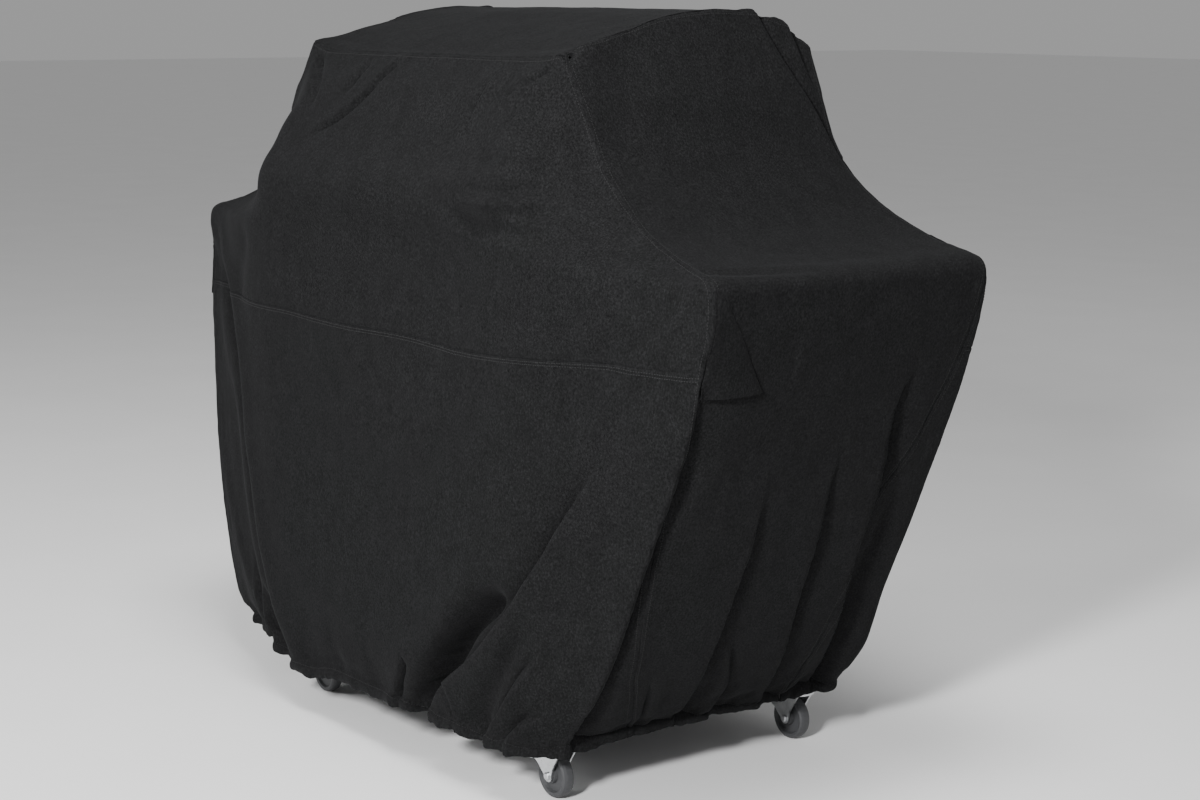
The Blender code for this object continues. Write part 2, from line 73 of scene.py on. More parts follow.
# ------------------------------------------------------------------ the cover's form, as the CAD has it
SHELF_Z, SEAM_Z, HEM_TOP_Z, HEM_Z, LID_X = 0.885, 0.745, 0.110, 0.088, 0.372
LID_FRONT_Y, LID_BACK_Y, LID_FRONT_Z, LID_BACK_Z = -0.263, 0.250, 1.195, 1.210
SEAM_R = [(0.110, 0.415, -0.296), (0.150, 0.450, -0.291), (0.240, 0.512, -0.287),
          (0.420, 0.601, -0.287), (0.570, 0.670, -0.285), (0.710, 0.728, -0.283),
          (0.850, 0.761, -0.281), (0.885, 0.760, -0.281), (0.900, 0.715, -0.275),
          (0.920, 0.640, -0.266), (0.950, 0.560, -0.257), (0.985, 0.500, -0.252),
          (1.035, 0.448, -0.250), (1.120, 0.407, -0.255), (1.195, 0.372, -0.263)]
SEAM_L = [(0.110, 0.615, -0.280), (0.150, 0.676, -0.281), (0.230, 0.712, -0.282),
          (0.380, 0.741, -0.283), (0.540, 0.756, -0.283), (0.710, 0.761, -0.283),
          (0.850, 0.762, -0.281)] + SEAM_R[7:11] + [
              (0.985, 0.505, -0.264), (1.035, 0.458, -0.278), (1.120, 0.416, -0.286), (1.195, 0.372, -0.263)]
FRONT = [(0.110, -0.362), (0.300, -0.382), (0.740, -0.384), (0.900, -0.388), (0.960, -0.398),
         (1.000, -0.389), (1.040, -0.366), (1.100, -0.337), (1.150, -0.311), (1.195, -0.263)]
BACK_SEAM = [(0.110, 0.292), (0.300, 0.284), (0.885, 0.281), (0.960, 0.263), (1.035, 0.254),
             (1.120, 0.249), (1.195, 0.250)]
BACK = [(0.110, 0.316), (0.300, 0.308), (0.740, 0.298), (0.900, 0.296), (1.050, 0.290),
        (1.150, 0.280), (1.195, 0.250)]
ARCH = [(-0.263, 1.195), (-0.200, 1.223), (-0.120, 1.247), (-0.040, 1.265), (0.045, 1.272),
        (0.120, 1.268), (0.190, 1.250), (0.250, 1.210)]


def at(table, s, k=1):
    """Smooth monotone curve through a table's stations, for an array s."""
    t = np.array(table, float)
    x, y = t[:, 0], t[:, k]
    s = np.asarray(s, float)
    d = np.diff(y) / np.diff(x)
    m = np.empty_like(y)
    m[0], m[-1] = d[0], d[-1]
    a, b = d[:-1], d[1:]
    m[1:-1] = np.where(a * b > 0, 2 * a * b / np.where(a * b > 0, a + b, 1), 0)
    i = np.clip(np.searchsorted(x, s, side="right") - 1, 0, len(x) - 2)
    h = x[i + 1] - x[i]
    u = np.clip((s - x[i]) / h, 0, 1)
    out = ((2 * u ** 3 - 3 * u ** 2 + 1) * y[i] + (u ** 3 - 2 * u ** 2 + u) * h * m[i]
           + (-2 * u ** 3 + 3 * u ** 2) * y[i + 1] + (u ** 3 - u ** 2) * h * m[i + 1])
    out = np.where(s < x[0], y[0] + d[0] * (s - x[0]), out)
    return np.where(s > x[-1], y[-1] + d[-1] * (s - x[-1]), out)


def smooth(t):
    t = np.clip(t, 0, 1)
    return t * t * (3 - 2 * t)


def back_z(z):
    return z + (LID_BACK_Z - LID_FRONT_Z) * np.maximum(0, (z - SHELF_Z) / (LID_FRONT_Z - SHELF_Z)) ** 2


def either(u, z, k):
    return np.where(u >= 0, at(SEAM_R, z, k), at(SEAM_L, z, k))


def belly(z, x, xs):
    x0 = np.minimum(0.34, 0.30 + 0.1 * z)
    x0 = np.where(z > SHELF_Z, np.maximum(0.30, x0 - 0.1 * smooth((z - 1.05) / 0.14)), x0)
    x0 = np.minimum(x0, xs - 0.06)
    return np.sin(0.5 * np.pi * np.clip((xs - np.abs(x)) / (xs - x0), 0, 1)) ** 1.5


def front_grid(u, z):
    u, z = np.meshgrid(u, z)
    xs, ys = either(u, z, 1), either(u, z, 2)
    x = u * xs
    return np.stack([x, ys + (at(FRONT, z) - ys) * belly(z, x, xs), z], -1)


def back_grid(u, z):
    u, z = np.meshgrid(u, z)
    xs, ys = either(u, z, 1), at(BACK_SEAM, z)
    x = u * xs
    return np.stack([x, ys + (at(BACK, z) - ys) * belly(z, x, xs), back_z(z)], -1)


def side_grid(sign, v, z):
    v, z = np.meshgrid(v, z)
    side = SEAM_R if sign > 0 else SEAM_L
    ya, yb = at(side, z, 2), at(BACK_SEAM, z)
    x = at(side, z, 1)
    h = z + (back_z(z) - z) * v
    rise = np.maximum(0, (z - SHELF_Z) / (LID_FRONT_Z - SHELF_Z))
    yt = LID_FRONT_Y + (LID_BACK_Y - LID_FRONT_Y) * v
    lift = (at(ARCH, yt) - (LID_FRONT_Z + (LID_BACK_Z - LID_FRONT_Z) * v)) * rise ** 1.5
    sag = 0.010 * np.sin(np.pi * v) * 4 * np.maximum(0, rise * 2.2) * np.maximum(0, 1 - rise * 2.2)
    h = h + np.where(rise > 0, lift - sag, 0)
    x = x + np.where(rise > 0, 0, 0.006 * np.sin(np.pi * v) * smooth((z - HEM_TOP_Z) / 0.2))
    return np.stack([sign * x, ya + (yb - ya) * v, h], -1)


def top_grid(u, v):
    u, v = np.meshgrid(u, v)
    y = LID_FRONT_Y + (LID_BACK_Y - LID_FRONT_Y) * v
    return np.stack([u * LID_X, y, at(ARCH, y) + 0.004 * (1 - u * u) * np.sin(np.pi * v)], -1)


# rows of equal spacing along the right corner seam, with one on the cross seam and one on the shelf's edge
STEP = 0.0145
zf = np.linspace(HEM_TOP_Z, LID_FRONT_Z, 4000)
sp = np.stack([at(SEAM_R, zf, 1), at(SEAM_R, zf, 2), zf], -1)
sl = np.concatenate([[0], np.cumsum(np.linalg.norm(np.diff(sp, axis=0), axis=1))])
stops = [0.0] + [float(np.interp(z, zf, sl)) for z in (SEAM_Z, SHELF_Z)] + [float(sl[-1])]
ROWS, ROW_SEAM, ROW_SHELF = [], None, None
for a, b in zip(stops, stops[1:]):
    n = max(2, round((b - a) / STEP))
    ROWS += [a + (b - a) * i / n for i in range(n)]
    if ROW_SEAM is None:
        ROW_SEAM = len(ROWS)
    elif ROW_SHELF is None:
        ROW_SHELF = len(ROWS)
ROWS.append(stops[-1])
ZR = np.interp(ROWS, sl, zf)
NC, NV = 104, 40          # cells across the front and back, and along the depth
U = np.linspace(-1, 1, NC + 1)
V = np.linspace(0, 1, NV + 1)

GRIDS = {"front": front_grid(U, ZR), "right": side_grid(1, V, ZR),
         "back": back_grid(U[::-1], ZR), "left": side_grid(-1, V[::-1], ZR), "top": top_grid(U, V)}

# ------------------------------------------------------------------ one closed skin: a ring of four walls and the top
NRW = len(ZR)
ring = np.concatenate([GRIDS["front"][:, :-1], GRIDS["right"][:, :-1],
                       GRIDS["back"][:, :-1], GRIDS["left"][:, :-1]], axis=1)
NP = ring.shape[1]
top = GRIDS["top"]


def hem_low(x, y):
    """Height of the hem's lower edge: lowest at the front's left, a little higher on the right and at the back."""
    front = smooth((-y - 0.12) / 0.12)
    side = smooth((x - 0.30) / 0.12) * smooth((y + 0.25) / 0.10)
    z = 0.088 + 0.010 * side
    z = z - 0.020 * np.exp(-((x + 0.335) / 0.12) ** 4) * front
    z = z - 0.006 * smooth((-x - 0.44) / 0.12)
    return z


def skin_arrays(R, T):
    """Vertices and quads of the whole skin, ring rows first and then the top's inside."""
    nr, npr = R.shape[:2]
    nv, nu = T.shape[0] - 1, T.shape[1] - 1
    idx = np.arange(nr * npr).reshape(nr, npr)
    c = np.arange(npr)
    quads = [np.stack([idx[:-1, c], idx[:-1, (c + 1) % npr], idx[1:, (c + 1) % npr], idx[1:, c]], -1).reshape(-1, 4)]
    ti = np.zeros((nv + 1, nu + 1), int)
    ti[1:-1, 1:-1] = nr * npr + np.arange((nv - 1) * (nu - 1)).reshape(nv - 1, nu - 1)
    last = idx[-1]
    ti[0, :] = last[:nu + 1]
    ti[:, -1] = last[nu:nu + nv + 1]
    ti[-1, ::-1] = last[nu + nv:2 * nu + nv + 1]
    ti[::-1, 0] = last[(np.arange(2 * nu + nv, 2 * nu + 2 * nv + 1)) % npr]
    quads.append(np.stack([ti[:-1, :-1], ti[:-1, 1:], ti[1:, 1:], ti[1:, :-1]], -1).reshape(-1, 4))
    verts = np.concatenate([R.reshape(-1, 3), T[1:-1, 1:-1].reshape(-1, 3)])
    return verts, np.concatenate(quads), ti


def normals(v, q):
    n = np.cross(v[q[:, 2]] - v[q[:, 0]], v[q[:, 3]] - v[q[:, 1]])
    out = np.zeros_like(v)
    for k in range(4):
        np.add.at(out, q[:, k], n)
    return out / np.maximum(1e-12, np.linalg.norm(out, axis=1))[:, None]


P, Q, TI = skin_arrays(ring, top)
N = normals(P, Q)

# ------------------------------------------------------------------ folds
def place(panel, a, b):
    """Point on the plain form: (x, z) on the front and back, (y, z) on the sides, (x, y) on the top."""
    if panel in "fb":
        xs = float(either(np.float64(a), b, 1))
        g = front_grid if panel == "f" else back_grid
        return g(np.array([np.clip(a / xs, -1, 1)]), np.array([b]))[0, 0]
    if panel in "rl":
        s = SEAM_R if panel == "r" else SEAM_L
        ya, yb = float(at(s, b, 2)), float(at(BACK_SEAM, b))
        return side_grid(1 if panel == "r" else -1, np.array([np.clip((a - ya) / (yb - ya), 0, 1)]), np.array([b]))[0, 0]
    return np.array([a, b, float(at(ARCH, b))])


def spline(pts, n=8):
    p = np.array(pts, float)
    e = np.concatenate([[2 * p[0] - p[1]], p, [2 * p[-1] - p[-2]]])
    out = []
    for i in range(1, len(e) - 2):
        for t in np.arange(n) / n:
            out.append(0.5 * (2 * e[i] + (e[i + 1] - e[i - 1]) * t + (2 * e[i - 1] - 5 * e[i] + 4 * e[i + 1] - e[i + 2]) * t ** 2
                              + (3 * e[i] - e[i - 1] - 3 * e[i + 1] + e[i + 2]) * t ** 3))
    out.append(p[-1])
    return np.array(out)


def stroke(v, n, line, reach):
    """Signed distance of each near point from a line on the surface (positive to its left going down), share along it."""
    near = np.where((np.min(line, 0) - reach < v).all(1) & (v < np.max(line, 0) + reach).all(1))[0]
    if len(near) == 0:
        return near, None, None, None
    p = v[near]
    best = np.full(len(near), 1e9)
    s, tau = np.zeros(len(near)), np.zeros(len(near))
    side = np.zeros((len(near), 3))
    seg = np.linalg.norm(np.diff(line, axis=0), axis=1)
    run = np.concatenate([[0], np.cumsum(seg)])
    for i in range(len(line) - 1):
        d = line[i + 1] - line[i]
        t = np.clip(((p - line[i]) @ d) / max(1e-12, d @ d), 0, 1)
        off = p - (line[i] + t[:, None] * d)
        out = (off * n[near]).sum(1)
        off = off - n[near] * out[:, None]
        dist = np.linalg.norm(off, axis=1) + 3.0 * np.maximum(0, np.abs(out) - 0.035)
        left = np.cross(d / max(1e-9, seg[i]), n[near])
        left /= np.maximum(1e-9, np.linalg.norm(left, axis=1))[:, None]
        ok = dist < best
        best = np.where(ok, dist, best)
        s = np.where(ok, dist * np.sign((off * left).sum(1) + 1e-12), s)
        tau = np.where(ok, (run[i] + t * seg[i]) / run[-1], tau)
        side = np.where(ok[:, None], left, side)
    return near, s, tau, side


# panel, line, kind, (height and width left of it), (height and width right of it), (fade in, fade out), lean; mm
CREASE, DENT, TUCK = 0, 1, 2
FOLDS = [
    # the front's long folds, running down to the left
    ("f", [(0.565, 0.640), (0.545, 0.590), (0.503, 0.523), (0.455, 0.443), (0.419, 0.390), (0.379, 0.334), (0.319, 0.266),
           (0.245, 0.209), (0.176, 0.162), (0.110, 0.090)], TUCK, (-26, 40), (10, 36), (0.30, 0), 9),
    ("f", [(0.372, 0.362), (0.314, 0.331), (0.255, 0.285), (0.212, 0.241), (0.148, 0.173), (0.075, 0.080)],
     DENT, (-58, 15), (-58, 13), (0.22, 0), 0),
    ("f", [(0.290, 0.345), (0.215, 0.300), (0.160, 0.240), (0.110, 0.180), (0.04, 0.09)], DENT, (9, 34), (9, 18), (0.3, 0), 0),
    ("f", [(0.068, 0.195), (0.058, 0.165), (0.034, 0.125), (0.005, 0.080)], TUCK, (6, 12), (-20, 12), (0.12, 0), 4),
    ("f", [(0.180, 0.185), (0.203, 0.150), (0.200, 0.080)], TUCK, (-7, 12), (6, 14), (0.3, 0), 3),
    ("f", [(0.430, 0.350), (0.399, 0.305), (0.356, 0.241), (0.303, 0.172), (0.240, 0.085)], DENT, (-20, 15), (-20, 14), (0.4, 0), 0),
    ("f", [(0.430, 0.280), (0.387, 0.224), (0.344, 0.170), (0.270, 0.085)], TUCK, (-16, 14), (7, 20), (0.3, 0), 4),
    ("f", [(0.402, 0.172), (0.363, 0.137), (0.320, 0.085)], TUCK, (-14, 11), (6, 12), (0.3, 0), 3),
    ("f", [(0.500, 0.260), (0.470, 0.190), (0.430, 0.100)], DENT, (-5, 12), (-5, 12), (0.5, 0), 0),
    # broad hollow and swell of the front's right half
    ("f", [(0.600, 0.770), (0.500, 0.660), (0.440, 0.560), (0.370, 0.430), (0.310, 0.350)], DENT, (-7, 50), (-7, 45), (0.3, 0.3), 0),
    ("f", [(0.715, 0.865), (0.600, 0.815), (0.480, 0.745), (0.300, 0.640)], DENT, (5, 35), (5, 35), (0.3, 0.5), 0),
    # front right corner: a deep tuck behind the corner
    ("r", [(-0.270, 0.790), (-0.262, 0.700), (-0.250, 0.600), (-0.238, 0.500), (-0.226, 0.400), (-0.212, 0.300),
           (-0.196, 0.200), (-0.175, 0.060)], DENT, (-5, 20), (-5, 28), (0.3, 0), 0),
    ("r", [(-0.284, 0.790), (-0.285, 0.700), (-0.286, 0.600), (-0.287, 0.500), (-0.288, 0.400), (-0.288, 0.300), (-0.288, 0.200), (-0.288, 0.080)],
     TUCK, (5, 30), (-34, 26), (0.30, 0), 8),
    # the right side's folds
    ("r", [(-0.088, 0.570), (-0.092, 0.520), (-0.090, 0.450), (-0.089, 0.383), (-0.088, 0.300), (-0.084, 0.220), (-0.066, 0.080)],
     TUCK, (8, 34), (-15, 26), (0.28, 0), 6),
    ("r", [(-0.070, 0.310), (-0.030, 0.228), (0.003, 0.153), (0.003, 0.080)], TUCK, (5, 20), (-9, 16), (0.4, 0), 4),
    ("r", [(0.046, 0.620), (0.041, 0.545), (0.046, 0.480), (0.055, 0.400), (0.064, 0.310), (0.083, 0.220), (0.108, 0.120), (0.115, 0.070)],
     TUCK, (8, 32), (-16, 24), (0.3, 0), 6),
    ("r", [(0.175, 0.740), (0.140, 0.680), (0.136, 0.620), (0.145, 0.550), (0.152, 0.470), (0.156, 0.390), (0.170, 0.310),
           (0.199, 0.216), (0.226, 0.140), (0.235, 0.070)], TUCK, (9, 36), (-26, 30), (0.25, 0), 9),
    ("r", [(0.192, 0.600), (0.206, 0.490), (0.206, 0.400), (0.204, 0.300), (0.214, 0.180), (0.226, 0.070)],
     DENT, (-12, 18), (-14, 20), (0.35, 0), 0),
    ("r", [(0.270, 0.330), (0.278, 0.220), (0.285, 0.075)], DENT, (12, 26), (12, 26), (0.6, 0), 0),
    ("r", [(0.178, 0.185), (0.172, 0.127), (0.150, 0.075)], TUCK, (5, 12), (-8, 12), (0.3, 0), 3),
    ("r", [(-0.190, 0.230), (-0.165, 0.150), (-0.150, 0.070)], TUCK, (3, 14), (-8, 12), (0.4, 0), 3),
    ("r", [(-0.130, 0.240), (-0.125, 0.150), (-0.120, 0.070)], DENT, (-4, 10), (-4, 10), (0.5, 0), 0),
    # lid, front left: creases pulled towards the corner
    ("f", [(-0.085, 1.186), (-0.100, 1.165), (-0.112, 1.140), (-0.142, 1.112), (-0.186, 1.085), (-0.235, 1.061), (-0.275, 1.040)],
     TUCK, (5, 15), (-13, 9), (0.05, 0.4), 4),
    ("f", [(-0.176, 1.182), (-0.178, 1.150), (-0.192, 1.118)], DENT, (-13, 5.5), (-13, 7), (0.15, 0.5), 0),
    ("f", [(-0.352, 1.178), (-0.300, 1.148), (-0.285, 1.113), (-0.282, 1.085)], DENT, (-16, 6.5), (-16, 7.5), (0.1, 0.5), 0),
    ("f", [(-0.250, 1.180), (-0.240, 1.150), (-0.245, 1.120)], DENT, (-3, 12), (-3, 12), (0.2, 0.5), 0),
    # lid, front right
    ("f", [(0.232, 1.184), (0.231, 1.153), (0.226, 1.130), (0.221, 1.105), (0.219, 1.076), (0.226, 1.040)],
     TUCK, (-13, 10), (7, 12), (0.12, 0.6), 4),
    ("f", [(0.344, 1.182), (0.330, 1.158), (0.304, 1.142), (0.262, 1.131), (0.225, 1.120)], TUCK, (-11, 12), (6, 15), (0.2, 0.4), 3),
    ("f", [(0.352, 1.192), (0.335, 1.176), (0.305, 1.165), (0.270, 1.160)], TUCK, (4, 12), (-6, 12), (0.1, 0.5), 2),
    ("f", [(0.275, 1.180), (0.262, 1.150), (0.240, 1.110), (0.236, 1.070)], DENT, (-5, 9), (-5, 10), (0.2, 0.4), 0),
    # slack over the handle and the control panel
    ("f", [(0.235, 0.999), (0.300, 0.996), (0.369, 0.995), (0.435, 0.998)], DENT, (-9, 9), (-9, 11), (0.4, 0.4), 0),
    ("f", [(0.250, 0.978), (0.330, 0.978), (0.430, 0.982)], DENT, (4, 9), (4, 9), (0.3, 0.3), 0),
    ("f", [(0.330, 0.961), (0.415, 0.966), (0.465, 0.972)], DENT, (-8, 9), (-8, 10), (0.4, 0.4), 0),
    ("f", [(0.190, 0.975), (0.229, 0.962), (0.284, 0.944), (0.380, 0.934), (0.480, 0.926)], DENT, (-14, 11), (-14, 16), (0.35, 0.4), 0),
    ("f", [(0.230, 1.029), (0.294, 1.040), (0.360, 1.056)], DENT, (-3.5, 9), (-3.5, 9), (0.4, 0.4), 0),
    ("f", [(-0.430, 0.975), (-0.340, 0.984), (-0.110, 0.984), (0.105, 0.990), (0.240, 1.004)], DENT, (3, 16), (3, 22), (0.1, 0.3), 0),
    # right side above the shelf
    ("r", [(0.105, 1.238), (0.118, 1.215), (0.134, 1.183), (0.161, 1.145), (0.189, 1.112), (0.216, 1.074), (0.236, 1.030), (0.25, 0.985)],
     CREASE, (5, 9), (-7, 9), (0.12, 0.35), 2),
    ("r", [(0.175, 1.240), (0.200, 1.187), (0.217, 1.139), (0.232, 1.095)], CREASE, (4, 8), (-6, 8), (0.15, 0.4), 2),
    ("r", [(0.226, 1.222), (0.222, 1.180), (0.228, 1.140)], DENT, (-3, 7), (-3, 7), (0.2, 0.4), 0),
    ("r", [(-0.262, 1.180), (-0.238, 1.190), (-0.205, 1.204), (-0.170, 1.214)], TUCK, (4, 12), (-13, 12), (0.25, 0.5), 5),
    ("r", [(-0.268, 1.178), (-0.240, 1.189), (-0.205, 1.203), (-0.180, 1.211)], DENT, (-8, 7), (-8, 7), (0.3, 0.5), 0),
    ("t", [(0.366, -0.255), (0.370, -0.200), (0.370, -0.110)], DENT, (6, 10), (6, 10), (0.05, 0.5), 0),
    ("r", [(-0.230, 0.840), (-0.100, 0.842), (0.060, 0.842), (0.200, 0.842)], DENT, (-2.5, 12), (-2.5, 24), (0.1, 0.2), 0),
    ("r", [(-0.100, 1.225), (-0.164, 1.131), (-0.195, 1.075), (-0.215, 1.010)], DENT, (-5, 28), (-5, 28), (0.2, 0.4), 0),
    ("r", [(-0.262, 0.905), (-0.225, 0.899), (-0.150, 0.896), (-0.060, 0.894), (0.030, 0.893)], DENT, (-7, 12), (-7, 9), (0.05, 0.7), 0),
    ("f", [(0.600, 0.925), (0.654, 0.905), (0.715, 0.896)], DENT, (-4, 12), (-4, 9), (0.5, 0.1), 0),
    # the front's left end: the ridge where the cloth turns back to the shelf's corner
    ("f", [(-0.745, 0.870), (-0.690, 0.800), (-0.602, 0.734), (-0.545, 0.654), (-0.512, 0.560), (-0.500, 0.483), (-0.465, 0.396),
           (-0.437, 0.294), (-0.407, 0.210), (-0.385, 0.165), (-0.300, 0.085)], CREASE, (-16, 34), (9, 26), (0.15, 0), 0),
    ("f", [(-0.640, 0.640), (-0.620, 0.480), (-0.585, 0.340), (-0.540, 0.220), (-0.500, 0.085)], DENT, (-9, 26), (-9, 24), (0.3, 0), 0),
    ("f", [(-0.520, 0.200), (-0.470, 0.160), (-0.400, 0.090)], CREASE, (5, 9), (-8, 10), (0.4, 0), 2),
    ("f", [(-0.560, 0.250), (-0.530, 0.170), (-0.480, 0.085)], CREASE, (5, 9), (-8, 10), (0.4, 0), 2),
    ("f", [(-0.480, 0.885), (-0.500, 0.820), (-0.540, 0.745), (-0.560, 0.680)], DENT, (-6, 30), (-6, 24), (0.2, 0.5), 0),
    ("f", [(-0.190, 0.190), (-0.165, 0.140), (-0.150, 0.080)], DENT, (-4, 12), (-4, 12), (0.5, 0), 0),
    ("f", [(-0.300, 0.165), (-0.270, 0.125), (-0.255, 0.080)], DENT, (-3.5, 10), (-3.5, 10), (0.5, 0), 0),
    # top panel: slack along its front seam and ridges by the corners
    ("t", [(-0.325, -0.238), (-0.260, -0.240), (-0.190, -0.236)], DENT, (3.5, 12), (3.5, 12), (0.3, 0.4), 0),
    ("t", [(0.330, -0.215), (0.300, -0.120), (0.262, -0.020)], DENT, (2.5, 9), (2.5, 9), (0.2, 0.5), 0),
    ("t", [(0.290, -0.235), (0.262, -0.150), (0.215, -0.050)], DENT, (2, 9), (2, 9), (0.2, 0.5), 0),
]
# the back and the left side hang in the same way as the front and the right side; each fold keeps its own place
for f in list(FOLDS):
    panel, pts, kind, lft, rgt, fade, lean = f
    if panel == "f" and pts[0][1] < 0.8 and pts[0][0] > -0.35 and min(p[1] for p in pts) < 0.3:
        FOLDS.append(("b", [(-0.9 * x + 0.03, z) for x, z in pts], kind, lft, rgt, fade, lean))
        if pts[0][0] > 0.1:
            FOLDS.append(("b", [(x * 0.92 - 0.02, z * 0.97) for x, z in pts], kind, (rgt[0] * 0.7, rgt[1]), (lft[0] * 0.7, lft[1]), fade, -lean))
    if panel == "r" and pts[0][1] < 0.8:
        FOLDS.append(("l", [(y * 0.86 + 0.012, z * 0.96) for y, z in pts], kind, (rgt[0] * 0.75, rgt[1]), (lft[0] * 0.75, lft[1]), fade, -lean))
    if panel == "r" and pts[0][1] > 0.85 and pts[0][0] > -0.25:
        FOLDS.append(("l", [(y * 0.93, z) for y, z in pts], kind, (rgt[0] * 0.8, rgt[1]), (lft[0] * 0.8, lft[1]), fade, -lean))
    if panel == "f" and pts[0][1] > 0.9 and pts[0][0] > 0.2:
        FOLDS.append(("b", [(0.95 * x, z) for x, z in pts], kind, (rgt[0] * 0.7, rgt[1]), (lft[0] * 0.7, lft[1]), fade, -lean))


STEP_W = 0.0055


def folded(v, n, folds):
    move = np.zeros_like(v)
    for panel, pts, kind, lft, rgt, fade, lean in folds:
        line = spline([place(panel, a, b) if b > HEM_TOP_Z else place(panel, a, HEM_TOP_Z) - [0, 0, HEM_TOP_Z - b]
                       for a, b in pts])
        reach = 0.0042 * max(lft[1], rgt[1])
        near, s, tau, side = stroke(v, n, line, reach)
        if len(near) == 0:
            continue
        w = np.ones(len(near))
        if fade[0]:
            w *= smooth(tau / fade[0])
        if fade[1]:
            w *= smooth((1 - tau) / fade[1])
        sl, sr = lft[1] * 0.001, rgt[1] * 0.001
        x = np.where(s >= 0, s / sl, s / sr)
        amp = np.where(s >= 0, lft[0], rgt[0]) * 0.001
        if kind == CREASE:
            h = amp * np.abs(x) * np.exp(0.5 * (1 - x * x))
        elif kind == TUCK:
            # the cloth steps from the bottom of a valley up to the nose of the fold beside it
            hl = lft[0] * 0.001 * np.exp(-np.maximum(0, s) / sl)
            hr = rgt[0] * 0.001 * np.exp(-(np.maximum(0, -s) / sr) ** 1.35)
            k = smooth(s / (2 * STEP_W) + 0.5)
            h = hl * k + hr * (1 - k)
        else:
            h = amp * np.exp(-0.5 * x * x)
        h = h * w
        # the ridge leans over the valley beside it
        way = 1.0 if lft[0] < 0 else -1.0
        ridge = -0.3 * sr if lft[0] < 0 else 0.3 * sl
        spread = 0.6 * min(sl, sr)
        if kind == TUCK:
            ridge, spread = (-0.0045 if lft[0] < 0 else 0.0045), 0.0065
        tang = way * abs(lean) * 0.001 * w * np.exp(-0.5 * ((s - ridge) / spread) ** 2)
        move[near] += n[near] * h[:, None] + side * tang[:, None]
    return move


P1 = P.copy()
# the corner of the lid lifts into a small ear at the front left, and the top seam sags between its corners
ear = np.exp(-(((P[:, 0] + LID_X) / 0.030) ** 2 + ((P[:, 1] - LID_FRONT_Y) / 0.040) ** 2 + ((P[:, 2] - 1.195) / 0.035) ** 2))
ear2 = np.exp(-(((P[:, 0] - LID_X) / 0.035) ** 2 + ((P[:, 1] - LID_FRONT_Y) / 0.045) ** 2 + ((P[:, 2] - 1.195) / 0.035) ** 2))
P1 += np.stack([-0.006 * ear + 0.002 * ear2, -0.004 * ear - 0.003 * ear2, 0.016 * ear + 0.010 * ear2], -1)

# ------------------------------------------------------------------ cloth: the slack settles, and gathers above the elastic
def simulate(v, q):
    me = bpy.data.meshes.new("cloth_work")
    me.from_pydata([tuple(p) for p in v], [], [tuple(int(i) for i in f) for f in q])
    ob = bpy.data.objects.new("cloth_work", me)
    SCENE.collection.objects.link(ob)
    pin, grow = ob.vertex_groups.new(name="pin"), ob.vertex_groups.new(name="grow")
    z, x, y = v[:, 2], np.abs(v[:, 0]), v[:, 1]
    hold = np.full(len(v), 0.10)
    hold = np.maximum(hold, 1.0 * (z < HEM_TOP_Z + 0.004))
    hold = np.maximum(hold, 0.9 * np.exp(-((z - SHELF_Z) / 0.03) ** 2) * smooth((x - 0.70) / 0.04))
    rim = np.zeros(len(v), bool)
    rim[(NRW - 1) * NP:NRW * NP] = True
    hold = np.maximum(hold, 0.9 * rim)
    low = smooth((0.36 - z) / 0.24)
    g = 0.05 + 0.95 * low
    for i in range(len(v)):
        pin.add([i], float(min(1.0, hold[i])), "REPLACE")
        grow.add([i], float(g[i]), "REPLACE")
    mod = ob.modifiers.new("cloth", "CLOTH")
    st = mod.settings
    st.quality = 5
    st.mass = 0.25
    st.tension_stiffness = st.compression_stiffness = 20
    st.shear_stiffness = 8
    st.bending_stiffness = 0.6
    st.tension_damping = st.compression_damping = st.shear_damping = 15
    st.bending_damping = 1.5
    st.air_damping = 3
    st.vertex_group_mass = "pin"
    st.pin_stiffness = 1.0
    st.vertex_group_shrink = "grow"
    st.shrink_min = 0.0
    st.shrink_max = -0.035
    st.effector_weights.gravity = 0.35
    mod.collision_settings.use_collision = False
    mod.collision_settings.use_self_collision = False
    mod.point_cache.frame_start, mod.point_cache.frame_end = 1, FRAMES
    for f in range(1, FRAMES + 1):
        SCENE.frame_set(f)
    dg = bpy.context.evaluated_depsgraph_get()
    ev = ob.evaluated_get(dg)
    co = np.zeros(len(v) * 3)
    ev.data.vertices.foreach_get("co", co)
    co = co.reshape(-1, 3)
    SCENE.frame_set(1)
    bpy.data.objects.remove(ob)
    bpy.data.meshes.remove(me)
    move = co - v
    size = np.linalg.norm(move, axis=1)
    limit = 0.0055
    return v + move * (limit * np.tanh(size / limit) / np.maximum(1e-9, size))[:, None]


FRAMES = 24
P2 = simulate(P1, Q)

# ------------------------------------------------------------------ a finer skin, with more lines beside each seam
def lines(n, seams, gap):
    """Positions of the finer lines on 0..n: gap(t) apart, with three close ones on each side of a seam."""
    marks = sorted(set([0.0, float(n)] + [float(s) for s in seams]))
    out = set(marks)
    for a, b in zip(marks[:-1], marks[1:]):
        lo = a + (0.62 if a in seams else 0)
        hi = b - (0.62 if b in seams else 0)
        t, run = [lo], [0.0]
        while t[-1] < hi:
            t.append(t[-1] + 0.02)
            run.append(run[-1] + 0.02 / gap(t[-1]))
        k = max(1, int(round(run[-1])))
        for v in np.interp(np.linspace(0, run[-1], k + 1), run, t):
            out.add(float(np.clip(v, lo, hi)))
    for s_ in seams:
        for d in (0.12, 0.30):
            out.add(float(s_ + d))
            out.add(float(s_ - d))
    keep = sorted(v for v in out if -1e-9 <= v <= n + 1e-9)
    return np.array([v for i, v in enumerate(keep) if i == 0 or v - keep[i - 1] > 1e-4])


def row_gap(t):
    z = float(np.interp(t, np.arange(NRW), ZR))
    return 0.36 if 0.90 < z < 1.07 else 0.7 if 0.30 < z < 0.70 else 0.5


